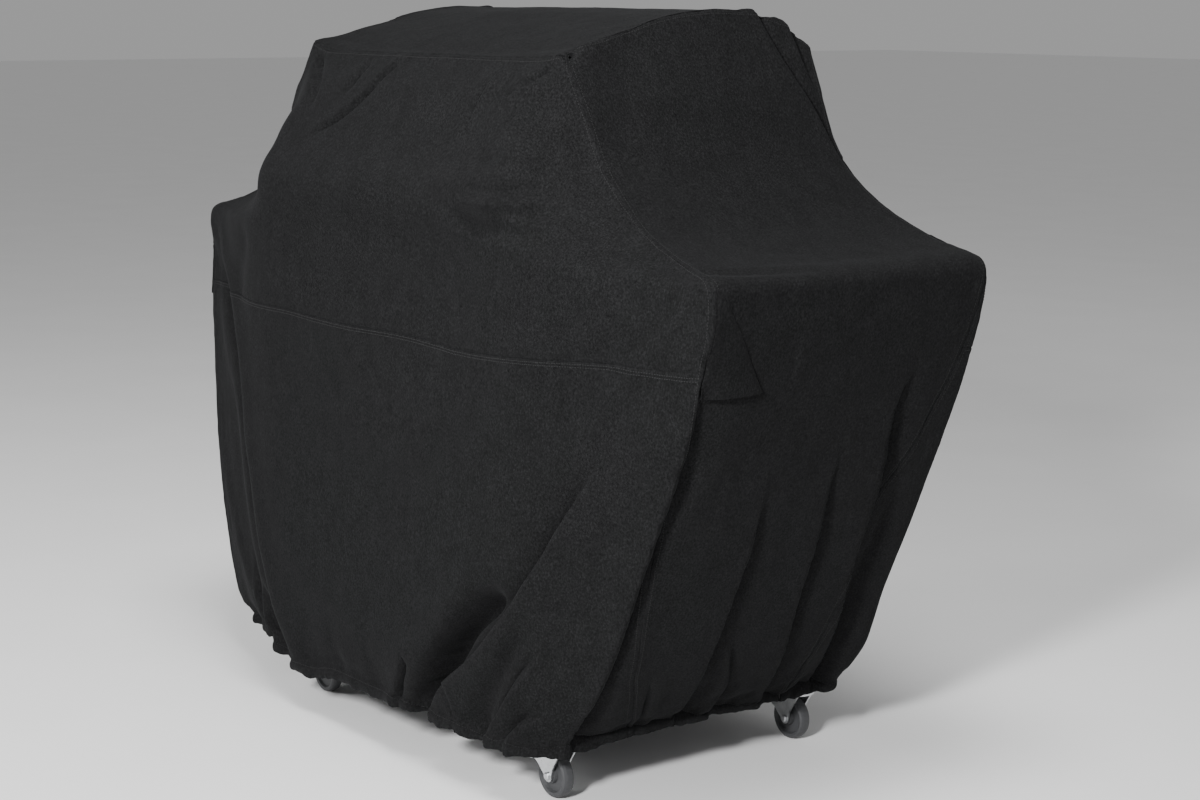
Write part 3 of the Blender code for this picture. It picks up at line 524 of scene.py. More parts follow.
def gap_front(t):
    x = t / NC
    return 0.9 - 0.58 * smooth((x - 0.46) / 0.08) - 0.45 * (1 - smooth((x - 0.42) / 0.06))


def weights(n, t):
    """Cubic weights that read a row of n + 1 samples at t."""
    W = np.zeros((len(t), n + 3))
    i = np.clip(np.floor(t).astype(int), 0, n - 1)
    u = t - i
    k = np.arange(len(t))
    W[k, i] = 0.5 * (-u + 2 * u ** 2 - u ** 3)
    W[k, i + 1] = 0.5 * (2 - 5 * u ** 2 + 3 * u ** 3)
    W[k, i + 2] = 0.5 * (u + 4 * u ** 2 - 3 * u ** 3)
    W[k, i + 3] = 0.5 * (-u ** 2 + u ** 3)
    E = np.zeros((n + 3, n + 1))
    E[np.arange(1, n + 2), np.arange(n + 1)] = 1
    E[0, 0], E[0, 1] = 2, -1
    E[-1, -1], E[-1, -2] = 2, -1
    return W @ E


def resample(G, rows, cols):
    A, B = weights(G.shape[0] - 1, rows), weights(G.shape[1] - 1, cols)
    return np.einsum("ar,rck,bc->abk", A, G, B, optimize=True)


R2 = P2[:NRW * NP].reshape(NRW, NP, 3)
R2 = np.concatenate([R2, R2[:, :1]], axis=1)
T2 = P2[TI]
RL = lines(NRW - 1, [ROW_SEAM, NRW - 1], row_gap)
CF, CS = lines(NC, [0, NC], gap_front), lines(NV, [0, NV], lambda t: 0.33)
CB, CL = NC - CF[::-1], NV - CS[::-1]
# on the right side the seams leave the corners and run down into the side, as the cover hangs a little twisted
SEAM_FR = [(0.060, -0.150), (0.112, -0.165), (0.229, -0.223), (0.332, -0.247), (0.422, -0.262), (0.566, -0.276), (0.700, -0.281), (0.790, -0.2815)]
SEAM_BR = [(0.060, 0.165), (0.300, 0.160), (0.445, 0.165), (0.504, 0.178), (0.570, 0.205), (0.643, 0.228), (0.714, 0.249), (0.766, 0.260), (0.846, 0.275), (0.885, 0.281)]
RR = np.einsum("ar,rck->ack", weights(NRW - 1, RL), R2, optimize=True)
row_z = RR[:, NC:NC + NV, 2].mean(1)
bounds = np.tile(np.array([0.0, NC, NC + NV, 2 * NC + NV, 2 * NC + 2 * NV]), (len(RL), 1))
for i, z in enumerate(row_z):
    if z < SHELF_Z:
        ya, yb = float(at(SEAM_R, z, 2)), float(at(BACK_SEAM, z))
        bounds[i, 1] += NV * np.clip((np.interp(z, *zip(*SEAM_FR)) - ya) / (yb - ya), 0, 0.4) * (z < 0.79)
        bounds[i, 2] -= NV * np.clip((yb - np.interp(z, *zip(*SEAM_BR))) / (yb - ya), 0, 0.4)
spans = [(0, NC), (NC, NC + NV), (NC + NV, 2 * NC + NV), (2 * NC + NV, 2 * NC + 2 * NV)]


def read_ring(c):
    """Points of the ring at column positions c, one row of positions for each row; each wall is read by itself."""
    out = np.zeros(c.shape + (3,))
    rows_ = np.arange(len(RL))[:, None] * np.ones(c.shape[1], int)
    for s0, s1 in spans:
        W = RR[:, s0:s1 + 1]
        E = np.concatenate([2 * W[:, :1] - W[:, 1:2], W, 2 * W[:, -1:] - W[:, -2:-1]], axis=1)
        m = (c >= s0 - 1e-9) & (c <= s1 + 1e-9)
        t = c[m] - s0
        i = np.clip(np.floor(t).astype(int), 0, s1 - s0 - 1)
        u = (t - i)[:, None]
        r = rows_[m]
        p = [E[r, i + k] for k in range(4)]
        out[m] = 0.5 * (p[0] * (-u + 2 * u ** 2 - u ** 3) + p[1] * (2 - 5 * u ** 2 + 3 * u ** 3)
                        + p[2] * (u + 4 * u ** 2 - 3 * u ** 3) + p[3] * (-u ** 2 + u ** 3))
    return out


walls = []
for k, (n, cl) in enumerate(((NC, CF), (NV, CS), (NC, CB), (NV, CL))):
    walls.append(read_ring(bounds[:, k:k + 1] + (bounds[:, k + 1:k + 2] - bounds[:, k:k + 1]) * (cl / n)[None, :]))
RD = np.concatenate([w[:, :-1] for w in walls], axis=1)
nF, nS = len(CF) - 1, len(CS) - 1
# the top's rows and columns match the walls' columns along its edge
TD = resample(T2, CS, CF)
V3, Q3, TI3 = skin_arrays(RD, TD)
NRD, NPD = RD.shape[:2]
r_seam = int(np.argmin(np.abs(RL - ROW_SEAM)))
ids = np.arange(NRD * NPD).reshape(NRD, NPD)
corner_cols = [0, nF, nF + nS, 2 * nF + nS]

# soften the turns over the lid's rim and over the shelves' edges
def relax(v, q, mask, times):
    e = np.concatenate([q[:, [0, 1]], q[:, [1, 2]], q[:, [2, 3]], q[:, [3, 0]]])
    e = np.unique(np.sort(e, axis=1), axis=0)
    live = mask[e].max(1) > 0
    e = e[live]
    a, b = np.concatenate([e[:, 0], e[:, 1]]), np.concatenate([e[:, 1], e[:, 0]])
    v = v.copy()
    for _ in range(times):
        d = np.maximum(1e-5, np.linalg.norm(v[a] - v[b], axis=1))
        w = 1.0
        tot = np.bincount(a, minlength=len(v)).astype(float)
        mean = np.stack([np.bincount(a, v[b, k], minlength=len(v)) for k in range(3)], -1) / np.maximum(1, tot)[:, None]
        v += (mean - v) * (0.5 * mask * (tot > 0))[:, None]
    return v


x_, y_, z_ = np.abs(V3[:, 0]), V3[:, 1], V3[:, 2]
rim_z = np.array([float(at(ARCH, y)) for y in np.linspace(-0.30, 0.32, 63)])
rim = np.interp(y_, np.linspace(-0.30, 0.32, 63), rim_z)
on_lid = np.exp(-((z_ - rim) / 0.020) ** 2) * (np.maximum((x_ - LID_X + 0.03) / 0.03, (LID_FRONT_Y + 0.035 - y_) / 0.03) > 0)
on_shelf = np.exp(-((z_ - SHELF_Z) / 0.022) ** 2) * smooth((x_ - 0.60) / 0.06)
V3 = relax(V3, Q3, np.clip(on_lid * 0.8 + on_shelf, 0, 1), 16)
near_c = np.exp(-((V3[:, 1] + 0.283) / 0.020) ** 2) * smooth((V3[:, 0] - 0.40) / 0.05) * smooth((0.80 - V3[:, 2]) / 0.05)
near_b = np.exp(-((V3[:, 1] - 0.283) / 0.020) ** 2) * smooth((V3[:, 0] - 0.40) / 0.05) * smooth((0.86 - V3[:, 2]) / 0.03)
V3 = relax(V3, Q3, np.clip(near_c + 0.45 * near_b, 0, 1), 20)
V3 += folded(V3, normals(V3, Q3), FOLDS)
# the cross seam rises a little to the right corner, as it does over slack cloth
lift = 0.011 * smooth((V3[:, 0] - 0.38) / 0.26) + 0.002 * np.sin(V3[:, 0] * 17)
V3[:, 2] += lift * np.exp(-((V3[:, 2] - 0.745) / 0.045) ** 2) * (V3[:, 1] < -0.1)

# lower the last rows to the hem's own height
zz = V3[:, 2]
drop = hem_low(V3[:, 0], V3[:, 1]) + 0.019 - HEM_TOP_Z
V3[:, 2] += drop * smooth((0.26 - zz) / 0.15)
# and draw the front's left end in towards the elastic
V3[:, 1] += 0.003 * np.exp(-((V3[:, 0] + 0.345) / 0.085) ** 2) * smooth((0.20 - V3[:, 2]) / 0.11) * (V3[:, 1] < 0)

# distances along the skin from each seam
wall = V3[:NRD * NPD].reshape(NRD, NPD, 3)
step_c = np.linalg.norm(np.roll(wall, -1, axis=1) - wall, axis=2)
step_r = np.linalg.norm(np.diff(wall, axis=0), axis=2)
up = np.concatenate([np.zeros((1, NPD)), np.cumsum(step_r, axis=0)])
d_corner = np.full((NRD, NPD), 9.0)
s_corner = np.zeros((NRD, NPD))
for k, c0 in enumerate(corner_cols):
    c1 = corner_cols[(k + 1) % 4] if k < 3 else NPD
    seg = np.cumsum(step_c[:, c0:c1], axis=1)
    from_a = np.concatenate([np.zeros((NRD, 1)), seg[:, :-1]], axis=1)
    to_b = seg[:, -1:] - from_a
    d_corner[:, c0:c1] = np.minimum(from_a, to_b)
d_cross = np.abs(up - up[r_seam])
d_lid = up[-1] - up
along = np.concatenate([np.zeros((1, NPD)), np.cumsum(step_r, axis=0)])
girth = np.concatenate([np.zeros((NRD, 1)), np.cumsum(step_c, axis=1)[:, :-1]], axis=1)

N3 = normals(V3, Q3)
from mathutils import noise as mnoise
mnoise.seed_set(7)


def noise3(v, scale, shift=0.0):
    return np.array([mnoise.noise((a * scale[0] + shift, b * scale[1] - shift, c * scale[2] + 2 * shift)) for a, b, c in v])


h = np.zeros(len(V3))
hw = h[:NRD * NPD].reshape(NRD, NPD)
is_front = np.zeros(NPD, bool)
is_front[0:nF + 1] = True
is_back = np.zeros(NPD, bool)
is_back[nF + nS:2 * nF + nS + 1] = True
is_side = ~(is_front | is_back)


def seam(d, raised):
    """A sunk seam line with the seam allowance showing as a low band on one side."""
    mm_ = d * 1000
    groove = -1.0 * np.exp(-(mm_ / 1.3) ** 2)
    band = 0.4 * smooth((mm_ - 0.6) / 1.5) * (1 - smooth((mm_ - 7.5) / 5.0))
    return (groove + band * raised) * 0.001


lower_fade = smooth((along - 0.0) / 0.02)
hw += seam(d_corner, np.where(is_side, 0.5, 0.15)[None, :])
hw += np.where((is_front | is_back)[None, :], seam(d_cross, np.where(up > up[r_seam], 0.1, 0.7)), 0)
hw += seam(d_lid, 0.9)
# puckers beside the seams
pn = noise3(wall.reshape(-1, 3), (55, 55, 55), 3.1).reshape(NRD, NPD)
hw += 0.0011 * pn * np.exp(-d_corner / 0.018)
hw += np.where((is_front | is_back)[None, :], 0.0011 * pn * np.exp(-d_cross / 0.016), 0)
hw += 0.0010 * pn * np.exp(-d_lid / 0.016)
# gathers above the elastic: they follow the girth, and die out upwards, the wide ones last
zg = wall[:, :, 2] - (hem_low(wall[:, :, 0], wall[:, :, 1]) + 0.019)
flow = np.stack([wall[:, :, 0] + 0.20 * zg, wall[:, :, 1] - 0.15 * zg, zg], -1).reshape(-1, 3)
g1 = noise3(flow, (30, 30, 3), 5.2).reshape(NRD, NPD)
g2 = noise3(flow, (13, 13, 2), 1.7).reshape(NRD, NPD)
g3 = noise3(flow, (62, 62, 5), 8.8).reshape(NRD, NPD)
calm = 1 - 0.7 * is_front[None, :] * np.exp(-((wall[:, :, 0] + 0.20) / 0.24) ** 2)
hw += calm * 0.0085 * g1 * np.exp(-np.maximum(0, zg) / 0.040) + calm * 0.008 * g2 * np.exp(-np.maximum(0, zg) / 0.09) + calm * 0.0035 * g3 * np.exp(-np.maximum(0, zg) / 0.016)
# slow unevenness and small creases of slack cloth everywhere
h += 0.0016 * noise3(V3, (7, 7, 4.5), 0.3) + 0.0007 * noise3(V3, (19, 19, 12), 4.4)
crumple = noise3(V3, (34, 34, 20), 2.2)
h += 0.00032 * (1 - 2 * np.abs(crumple))
V4 = V3 + N3 * h[:, None]
N4 = normals(V4, Q3)
V4 += ORG
skin_tree = BVHTree.FromPolygons([tuple(p) for p in V4], [tuple(int(i) for i in f) for f in Q3])


# ------------------------------------------------------------------ meshes
def new_mesh(name, verts, faces, mat, smooth_deg=60):
    me = bpy.data.meshes.new(name)
    me.from_pydata([tuple(p) for p in verts], [], [tuple(int(i) for i in f) for f in faces])
    me.validate()
    me.materials.append(mat)
    me.polygons.foreach_set("use_smooth", [True] * len(me.polygons))
    me.set_sharp_from_angle(angle=math.radians(smooth_deg))
    ob = bpy.data.objects.new(name, me)
    SCENE.collection.objects.link(ob)
    return ob


def sheet_mesh(name, V, Nn, mat, t):
    """Closed sheet of thickness t under a grid of points with the given outward normals."""
    nr, nc = V.shape[:2]
    k = nr * nc
    idx = np.arange(k).reshape(nr, nc)
    q = np.stack([idx[:-1, :-1], idx[:-1, 1:], idx[1:, 1:], idx[1:, :-1]], -1).reshape(-1, 4)
    inner = q[:, ::-1] + k
    rim = np.concatenate([idx[0, :], idx[1:, -1], idx[-1, -2::-1], idx[-2:0:-1, 0]])
    nxt = np.roll(rim, -1)
    sides = np.stack([nxt, rim, rim + k, nxt + k], -1)
    verts = np.concatenate([V.reshape(-1, 3), (V - Nn * t).reshape(-1, 3)])
    return new_mesh(name, verts, np.concatenate([q, inner, sides]), mat, 62)


# ------------------------------------------------------------------ materials
class Mat:
    def __init__(self, name):
        self.m = bpy.data.materials.new(name)
        self.m.use_nodes = True
        self.t = self.m.node_tree
        self.b = self.t.nodes["Principled BSDF"]
        self.co = self.node("ShaderNodeTexCoord").outputs["Object"]

    def node(self, kind, **props):
        n = self.t.nodes.new(kind)
        for k, v in props.items():
            setattr(n, k, v)
        return n

    def link(self, a, b):
        self.t.links.new(a, b)

    def set(self, **vals):
        for k, v in vals.items():
            self.b.inputs[k.replace("_", " ")].default_value = v

    def scaled(self, s, rot=(0, 0, 0), vec=None):
        n = self.node("ShaderNodeMapping")
        n.inputs["Scale"].default_value = s
        n.inputs["Rotation"].default_value = rot
        self.link(vec or self.co, n.inputs["Vector"])
        return n.outputs["Vector"]

    def noise(self, s, scale=1.0, detail=2.0, rough=0.5, vec=None):
        n = self.node("ShaderNodeTexNoise")
        n.inputs["Scale"].default_value = scale
        n.inputs["Detail"].default_value = detail
        n.inputs["Roughness"].default_value = rough
        self.link(self.scaled(s, vec=vec), n.inputs["Vector"])
        return n.outputs["Fac"]

    def math(self, op, a, b=None, c=None):
        n = self.node("ShaderNodeMath", operation=op)
        for i, x in enumerate((a, b, c)):
            if x is None:
                continue
            if isinstance(x, (int, float)):
                n.inputs[i].default_value = x
            else:
                self.link(x, n.inputs[i])
        return n.outputs[0]

    def ramp(self, fac, stops):
        n = self.node("ShaderNodeValToRGB")
        e = n.color_ramp.elements
        while len(e) < len(stops):
            e.new(0.5)
        for el, (p, c) in zip(e, stops):
            el.position = p
            el.color = (*c, 1) if len(c) == 3 else c
        self.link(fac, n.inputs["Fac"])
        return n.outputs["Color"]

    def span(self, fac, a, b, lo, hi):
        n = self.node("ShaderNodeMapRange")
        n.inputs["From Min"].default_value, n.inputs["From Max"].default_value = a, b
        n.inputs["To Min"].default_value, n.inputs["To Max"].default_value = lo, hi
        self.link(fac, n.inputs["Value"])
        return n.outputs["Result"]

    def bump(self, height, dist, strength=1.0, normal=None):
        n = self.node("ShaderNodeBump")
        n.inputs["Strength"].default_value = strength
        n.inputs["Distance"].default_value = dist
        self.link(height, n.inputs["Height"])
        if normal is not None:
            self.link(normal, n.inputs["Normal"])
        return n.outputs["Normal"]


def weave(M, pitch):
    """Height of a plain weave at the given thread pitch, from the object's own coordinates."""
    k = 2 * math.pi / pitch
    n = M.node("ShaderNodeSeparateXYZ")
    M.link(M.co, n.inputs[0])
    x, y, z = n.outputs
    side = M.math("ADD", x, y)
    a = M.math("SINE", M.math("MULTIPLY", side, k))
    b = M.math("SINE", M.math("MULTIPLY", z, k))
    return M.math("MULTIPLY", a, b)


def fabric(name, base):
    M = Mat(name)
    # two shades of yarn, mixed in short flecks a little longer than wide, with softer clouds over them
    fleck = M.noise((1, 1, 0.8), 330, 3.0, 0.75)
    slub = M.noise((1, 1, 0.3), 520, 2.0, 0.55)
    cloud = M.noise((1, 1, 0.7), 30, 3.0, 0.55)
    f = M.math("ADD", M.math("MULTIPLY", fleck, 0.75), M.math("MULTIPLY", slub, 0.25))
    col = M.ramp(M.span(f, 0.33, 0.67, 0, 1), [(0.0, [c * 0.42 for c in base]), (0.42, [c * 0.84 for c in base]),
                                               (0.62, [c * 1.12 for c in base]), (1.0, [c * 1.80 for c in base])])
    mix = M.node("ShaderNodeMix", data_type="RGBA", blend_type="MULTIPLY")
    mix.inputs["Factor"].default_value = 1.0
    M.link(col, mix.inputs[6])
    M.link(M.ramp(cloud, [(0.30, (0.90, 0.90, 0.90)), (0.70, (1.09, 1.09, 1.095))]), mix.inputs[7])
    M.link(mix.outputs[2], M.b.inputs["Base Color"])
    M.link(M.span(fleck, 0.3, 0.7, 0.95, 0.86), M.b.inputs["Roughness"])
    M.set(Specular_IOR_Level=0.05, Sheen_Weight=0.014, Sheen_Roughness=0.45)
    M.b.inputs["Sheen Tint"].default_value = (0.85, 0.87, 0.92, 1)
    n1 = M.bump(M.math("ADD", M.math("MULTIPLY", weave(M, 0.0011), 0.25), fleck), 0.0004, 0.5)
    n2 = M.bump(M.noise((1, 1, 0.6), 70, 3.0, 0.55), 0.0014, 0.3, n1)
    M.link(n2, M.b.inputs["Normal"])
    return M.m


def metal(name, color, rough, scratch=(1, 1, 1), metallic=1.0, grain=140, spread=0.10, bump=0.0002):
    M = Mat(name)
    n1 = M.noise(scratch, grain, 3, 0.6)
    n2 = M.noise((1, 1, 1), 11, 3, 0.6)
    col = M.ramp(M.math("ADD", M.math("MULTIPLY", n1, 0.5), M.math("MULTIPLY", n2, 0.5)),
                 [(0.30, [c * 0.78 for c in color]), (0.70, [min(1, c * 1.12) for c in color])])
    M.link(col, M.b.inputs["Base Color"])
    M.set(Metallic=metallic)
    M.link(M.span(n1, 0.3, 0.7, rough - spread, rough + spread), M.b.inputs["Roughness"])
    M.link(M.bump(n1, bump, 0.5), M.b.inputs["Normal"])
    return M.m


FABRIC = fabric("cover_fabric", (0.0090, 0.0091, 0.0094))
MESHM = fabric("vent_mesh", (0.0045, 0.0045, 0.0047))
ELASTIC = metal("hem_elastic", (0.035, 0.035, 0.036), 0.85, (1, 1, 6), 0.0, 220, 0.06)
PAINT = metal("grill_paint", (0.035, 0.035, 0.038), 0.42, (1, 1, 1), 0.0, 420, 0.08, 0.0003)
STEEL = metal("grill_steel", (0.50, 0.50, 0.51), 0.34, (0.03, 1, 1), 1.0, 600, 0.08, 0.0001)
ZINC = metal("zinc_plate", (0.66, 0.67, 0.68), 0.36, (1, 1, 1), 1.0, 160, 0.10, 0.00015)
WHEELM = metal("wheel_rubber", (0.042, 0.043, 0.046), 0.58, (1, 1, 1), 0.0, 260, 0.08, 0.0002)
# one thread in two copies: the lighter one, on the cross seams, paints the light line those seams catch (painted
# highlight); the darker one, on the corner, lid and hem seams, paints the shade along those seams (painted shade)
THREAD = metal("seam_thread", (0.0125, 0.0125, 0.013), 0.8, (1, 1, 1), 0.0, 900, 0.05, 0.0001)
THREAD_PAINTED_SHADE = metal("seam_thread_painted_shade", (0.0075, 0.0075, 0.0078), 0.85, (1, 1, 1), 0.0, 900, 0.05, 0.0001)
SLOT_MAT = {"cover_fabric": FABRIC, "vent_mesh": MESHM, "hem_elastic": ELASTIC, "grill_paint": PAINT,
            "grill_steel": STEEL, "zinc_plate": ZINC, "wheel_rubber": WHEELM}
for part in frame["record"]["subparts"]:
    ob = frame["nodes"][part["node"]]
    for i in range(max(1, len(ob.material_slots))):
        if not ob.material_slots:
            ob.data.materials.append(None)
        ob.material_slots[i].material = SLOT_MAT[part["material_slot"]]

# ------------------------------------------------------------------ the cover's panels
T_CLOTH = 0.0012
VW, NW = V4[:NRD * NPD].reshape(NRD, NPD, 3), N4[:NRD * NPD].reshape(NRD, NPD, 3)
VT, NT = V4[TI3], N4[TI3]


def cols(a, b):
    return [c % NPD for c in range(a, b + 1)]


PIECES = {
    "front_lower": (slice(0, r_seam + 1), cols(0, nF)), "front_upper": (slice(r_seam, NRD), cols(0, nF)),
    "back_lower": (slice(0, r_seam + 1), cols(nF + nS, 2 * nF + nS)), "back_upper": (slice(r_seam, NRD), cols(nF + nS, 2 * nF + nS)),
    "side_right": (slice(0, NRD), cols(nF, nF + nS)), "side_left": (slice(0, NRD), cols(2 * nF + nS, NPD))}
STANDS_FOR = {"front_lower": "cover_front_panel_lower", "front_upper": "cover_front_panel_upper",
              "back_lower": "cover_back_panel_lower", "back_upper": "cover_back_panel_upper",
              "side_right": "cover_side_panel_right", "side_left": "cover_side_panel_left", "top": "cover_top_panel"}
# flat cuts: width and length of the cloth, and the area where it tapers
FLAT = {"front_lower": (1.56, 0.70, None), "front_upper": (1.54, 0.80, None), "back_lower": (1.56, 0.70, None),
        "back_upper": (1.54, 0.78, None), "side_right": (0.60, 1.50, None), "side_left": (0.60, 1.50, None),
        "top": (0.77, 0.56, None)}
sheets = {}
for name, (rows, cc) in PIECES.items():
    sheets[name] = sheet_mesh("cover_" + name, VW[rows][:, cc], NW[rows][:, cc], FABRIC, T_CLOTH)
sheets["top"] = sheet_mesh("cover_top", VT, NT, FABRIC, T_CLOTH)

# ------------------------------------------------------------------ hem: a stitched channel for the elastic, turned under
base_row = VW[0]
flat_n = NW[0].copy()
flat_n[:, 2] = 0
flat_n /= np.linalg.norm(flat_n, axis=1)[:, None]
low = hem_low(base_row[:, 0] - ORG[0], base_row[:, 1] - ORG[1])
pc = np.stack([base_row[:, 0], base_row[:, 1], 0 * low], -1)
r1, r2, r3 = noise3(pc, (38, 38, 1), 6.1), noise3(pc, (75, 75, 1), 2.9), noise3(pc, (20, 20, 1), 4.5)
reach = base_row[:, 2] - low
PROFILE = [(0.0, 0.0), (1.4, 0.10), (2.6, 0.28), (3.0, 0.50), (2.2, 0.74), (0.6, 0.92), (-1.6, 1.0), (-3.8, 0.93),
           (-5.0, 0.76), (-5.2, 0.50), (-4.6, 0.20), (-4.0, -0.10)]
HG = []
for k, (o, d) in enumerate(PROFILE):
    w = smooth(np.float64(min(1.0, d * 1.3 if k < 7 else 1.0)))
    out = o * 0.001 + w * (0.0045 * r1 + 0.0022 * r2 + 0.003 * r3)
    fall = d * reach * (1 + 0.16 * r1 * w + 0.10 * r2 * w) + w * 0.004 * r3
    HG.append(base_row + flat_n * out[:, None] - np.array([0, 0, 1.0]) * fall[:, None])
HG = np.array(HG)[::-1]


def grid_normals(G, closed=True):
    du = np.roll(G, -1, axis=1) - np.roll(G, 1, axis=1)
    dv = np.gradient(G, axis=0)
    n = np.cross(du, dv)
    return n / np.maximum(1e-9, np.linalg.norm(n, axis=2))[:, :, None]


HN = grid_normals(HG)
hems = {}
for name, a, b in (("front", 0, nF), ("right", nF, nF + nS), ("back", nF + nS, 2 * nF + nS), ("left", 2 * nF + nS, NPD)):
    cc = cols(a, b)
    hems[name] = sheet_mesh("hem_" + name, HG[:, cc], HN[:, cc], FABRIC, 0.0009)
    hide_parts("hem_casing_" + name)

# the elastic lies in the channel, half way between its two layers
mid = (HG[::-1][3] * 0.5 + HG[::-1][9] * 0.5)
bands = {}
for name, a, b in (("front", 0, nF), ("right", nF, nF + nS), ("back", nF + nS, 2 * nF + nS), ("left", 2 * nF + nS, NPD)):
    cc = cols(a, b)[1:-1]
    line, nn = mid[cc], flat_n[cc]
    G = np.array([line + nn * 0.0006 + np.array([0, 0, h_]) for h_ in (-0.0045, -0.0015, 0.0015, 0.0045)])
    bands[name] = sheet_mesh("elastic_" + name, G, np.array([nn] * 4), ELASTIC, 0.0012)
    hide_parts("hem_elastic_" + name)
    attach(bands[name], "grill")


# ------------------------------------------------------------------ stitches: short bars of thread along each seam
def polyline(P_, pitch):
    d = np.concatenate([[0], np.cumsum(np.linalg.norm(np.diff(P_, axis=0), axis=1))])
    t = np.arange(pitch, d[-1], pitch)
    return np.stack([np.interp(t, d, P_[:, k]) for k in range(3)], -1)


def stitches(name, runs, mat, pitch=0.0046, length=0.0031, r=0.00042):
    verts, faces = [], []
    for line, nrm in runs:
        c = polyline(line, pitch)
        d = np.concatenate([[0], np.cumsum(np.linalg.norm(np.diff(line, axis=0), axis=1))])
        t = np.arange(pitch, d[-1], pitch)
        n = np.stack([np.interp(t, d, nrm[:, k]) for k in range(3)], -1)
        tan = np.gradient(c, axis=0)
        tan /= np.maximum(1e-9, np.linalg.norm(tan, axis=1))[:, None]
        n -= tan * (n * tan).sum(1)[:, None]
        n /= np.maximum(1e-9, np.linalg.norm(n, axis=1))[:, None]
        side = np.cross(tan, n)
        for p, a_, n_, s_ in zip(c, tan, n, side):
            k = len(verts)
            for e, w, h_ in ((-1, 0.35, -0.4), (-0.55, 1.0, 0.35), (0.55, 1.0, 0.35), (1, 0.35, -0.4)):
                q = p + a_ * (e * length / 2) + n_ * (h_ * r)
                for u_, v_ in ((1, 0), (0, 1), (-1, 0), (0, -1)):
                    verts.append(q + s_ * (u_ * w * r) + n_ * (v_ * w * r))
            for i in range(3):
                for j in range(4):
                    b0, b1 = k + 4 * i + j, k + 4 * i + (j + 1) % 4
                    faces.append((b0, b0 + 4, b1 + 4, b1))
            faces += [(k, k + 1, k + 2, k + 3), (k + 15, k + 14, k + 13, k + 12)]
    ob = new_mesh(name, verts, faces, mat, 80)
    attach(ob, "grill")
    return ob


runs = []
for c0 in corner_cols:
    for off in (3, -3):
        cc = (c0 + off) % NPD
        runs.append((VW[:, cc], NW[:, cc]))
# the corner seams' stitches take the thread's darker copy: painted shade along these seams
stitches("stitches_corner_seams", runs, THREAD_PAINTED_SHADE)
# the cross seams' stitches take the thread's lighter copy: a painted highlight line along these seams
runs = [(VW[r_seam - 2, cols(3, nF - 3)], NW[r_seam - 2, cols(3, nF - 3)]),
        (VW[r_seam - 2, cols(nF + nS + 3, 2 * nF + nS - 3)], NW[r_seam - 2, cols(nF + nS + 3, 2 * nF + nS - 3)]),
        (VW[r_seam - 3, cols(3, nF - 3)], NW[r_seam - 3, cols(3, nF - 3)])]
stitches("stitches_cross_seams", runs, THREAD)
# the lid and hem seams' stitches take the thread's darker copy: painted shade along these seams
stitches("stitches_lid_seam", [(VW[NRD - 3, cols(a, b)], NW[NRD - 3, cols(a, b)]) for a, b in
                               ((2, nF - 2), (nF + 2, nF + nS - 2), (nF + nS + 2, 2 * nF + nS - 2), (2 * nF + nS + 2, NPD - 2))], THREAD_PAINTED_SHADE)
stitches("stitches_hem", [(VW[0, cols(a, b)], NW[0, cols(a, b)]) for a, b in
                          ((1, nF - 1), (nF + 1, nF + nS - 1), (nF + nS + 1, 2 * nF + nS - 1), (2 * nF + nS + 1, NPD - 1))], THREAD_PAINTED_SHADE)

# ------------------------------------------------------------------ pieces that lie on the skin
def on_skin(p, d, lift):
    """The skin's point met along d from p, raised by lift along the skin's normal."""
    loc, n, i, dist = skin_tree.ray_cast(Vector(p), Vector(d))
    if loc is None:
        loc, n, i, dist = skin_tree.find_nearest(Vector(p))
    if n.dot(Vector(d)) > 0:
        n = -n
    return np.array(loc + n * lift), np.array(n)


def vent(sign, label):
    NA, NB = 22, 16
    G, NN, MG = [], [], []
    for i in range(NA + 1):
        a = 1 - i / NA          # 1 at the open bottom edge
        row, nrow, mrow = [], [], []
        for j in range(NB + 1):
            b = j / NB
            z = 0.878 - 0.164 * a
            ya = float(at(SEAM_R if sign > 0 else SEAM_L, z, 2)) + 0.006
            y = ya + b * (0.003 + 0.114 * a)
            bulge = 0.0012 + 0.0095 * a ** 1.8 * math.sin(math.pi * (0.06 + 0.88 * b)) ** 0.8
            edge = min(b, 1 - b) * (0.003 + 0.114 * a)
            hem = 0.0006 * float(smooth(np.float64((0.012 - (1 - a) * 0.164) / 0.004)) )
            welt = 0.0005 * math.exp(-((edge - 0.006) / 0.0025) ** 2)
            p, n = on_skin((sign * 1.2 + ORG[0], y + ORG[1], z), (-sign, 0, 0), bulge + hem + welt)
            m_, _ = on_skin((sign * 1.2 + ORG[0], y + ORG[1], z), (-sign, 0, 0), 0.0004)
            row.append(p)
            nrow.append(n)
            mrow.append(m_)
        if sign < 0:
            row, nrow, mrow = row[::-1], nrow[::-1], mrow[::-1]
        G.append(row)
        NN.append(nrow)
        MG.append(mrow)
    G, NN, MG = np.array(G), np.array(NN), np.array(MG)
    flap = sheet_mesh("vent_flap_%s_cloth" % label, G, NN, FABRIC, 0.0009)
    mesh = sheet_mesh("vent_mesh_%s_net" % label, MG, NN, MESHM, 0.0004)
    return flap, mesh


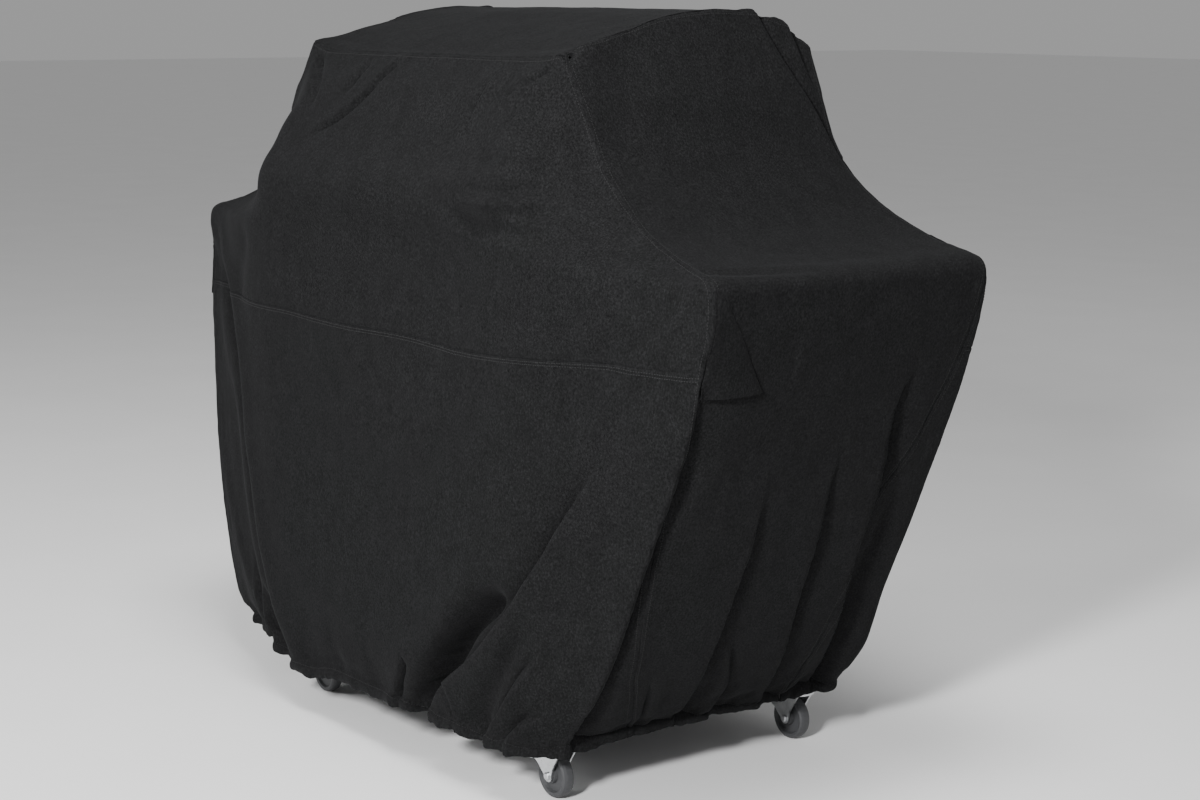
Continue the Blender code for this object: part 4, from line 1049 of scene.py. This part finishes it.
vents = {}
for sign, label in ((1, "right"), (-1, "left")):
    flap, net = vent(sign, label)
    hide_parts("vent_flap_" + label)
    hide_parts("vent_mesh_" + label)
    vents[label] = (flap, net)

for name, ob in sheets.items():
    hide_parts(STANDS_FOR[name])
    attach(ob, "grill")
for ob in list(hems.values()):
    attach(ob, "grill")
for flap, net in vents.values():
    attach(flap, "grill")
    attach(net, "grill")
for name, ob in sheets.items():
    w, l, _ = FLAT[name]

# ------------------------------------------------------------------ floor and light
def floor_material():
    M = Mat("floor_paper")
    n = M.noise((1, 1, 1), 3.0, 3, 0.5)
    M.link(M.ramp(n, [(0.3, (0.86, 0.86, 0.86)), (0.7, (0.88, 0.88, 0.88))]), M.b.inputs["Base Color"])
    M.set(Roughness=0.9, Specular_IOR_Level=0.1)
    return M.m


fm = bpy.data.meshes.new("floor")
fm.from_pydata([(-40, -40, 0), (40, -40, 0), (40, 40, 0), (-40, 40, 0)], [], [(0, 1, 2, 3)])
fm.materials.append(floor_material())
floor = bpy.data.objects.new("floor", fm)
SCENE.collection.objects.link(floor)

world = bpy.data.worlds.new("studio")
world.use_nodes = True
bg = world.node_tree.nodes["Background"]
bg.inputs["Color"].default_value = (1.0, 1.0, 1.0, 1)
bg.inputs["Strength"].default_value = 0.36
SCENE.world = world


def soft_light(name, where, aim, size, power, tint=(1, 1, 1)):
    ld = bpy.data.lights.new(name, "AREA")
    ld.shape = "RECTANGLE"
    ld.size, ld.size_y = size
    ld.energy = power
    ld.color = tint
    lo = bpy.data.objects.new(name, ld)
    SCENE.collection.objects.link(lo)
    lo.location = where
    lo.rotation_euler = (Vector(aim) - Vector(where)).to_track_quat("-Z", "Y").to_euler()


soft_light("key", (2.6, -3.8, 2.6), (0.15, 0, 0.6), (0.6, 0.6), 360)
soft_light("left", (-2.6, -4.2, 2.0), (-0.3, 0, 0.6), (1.0, 1.0), 60)
soft_light("top", (1.1, -0.8, 3.9), (0.1, 0, 0.8), (1.2, 1.2), 115)
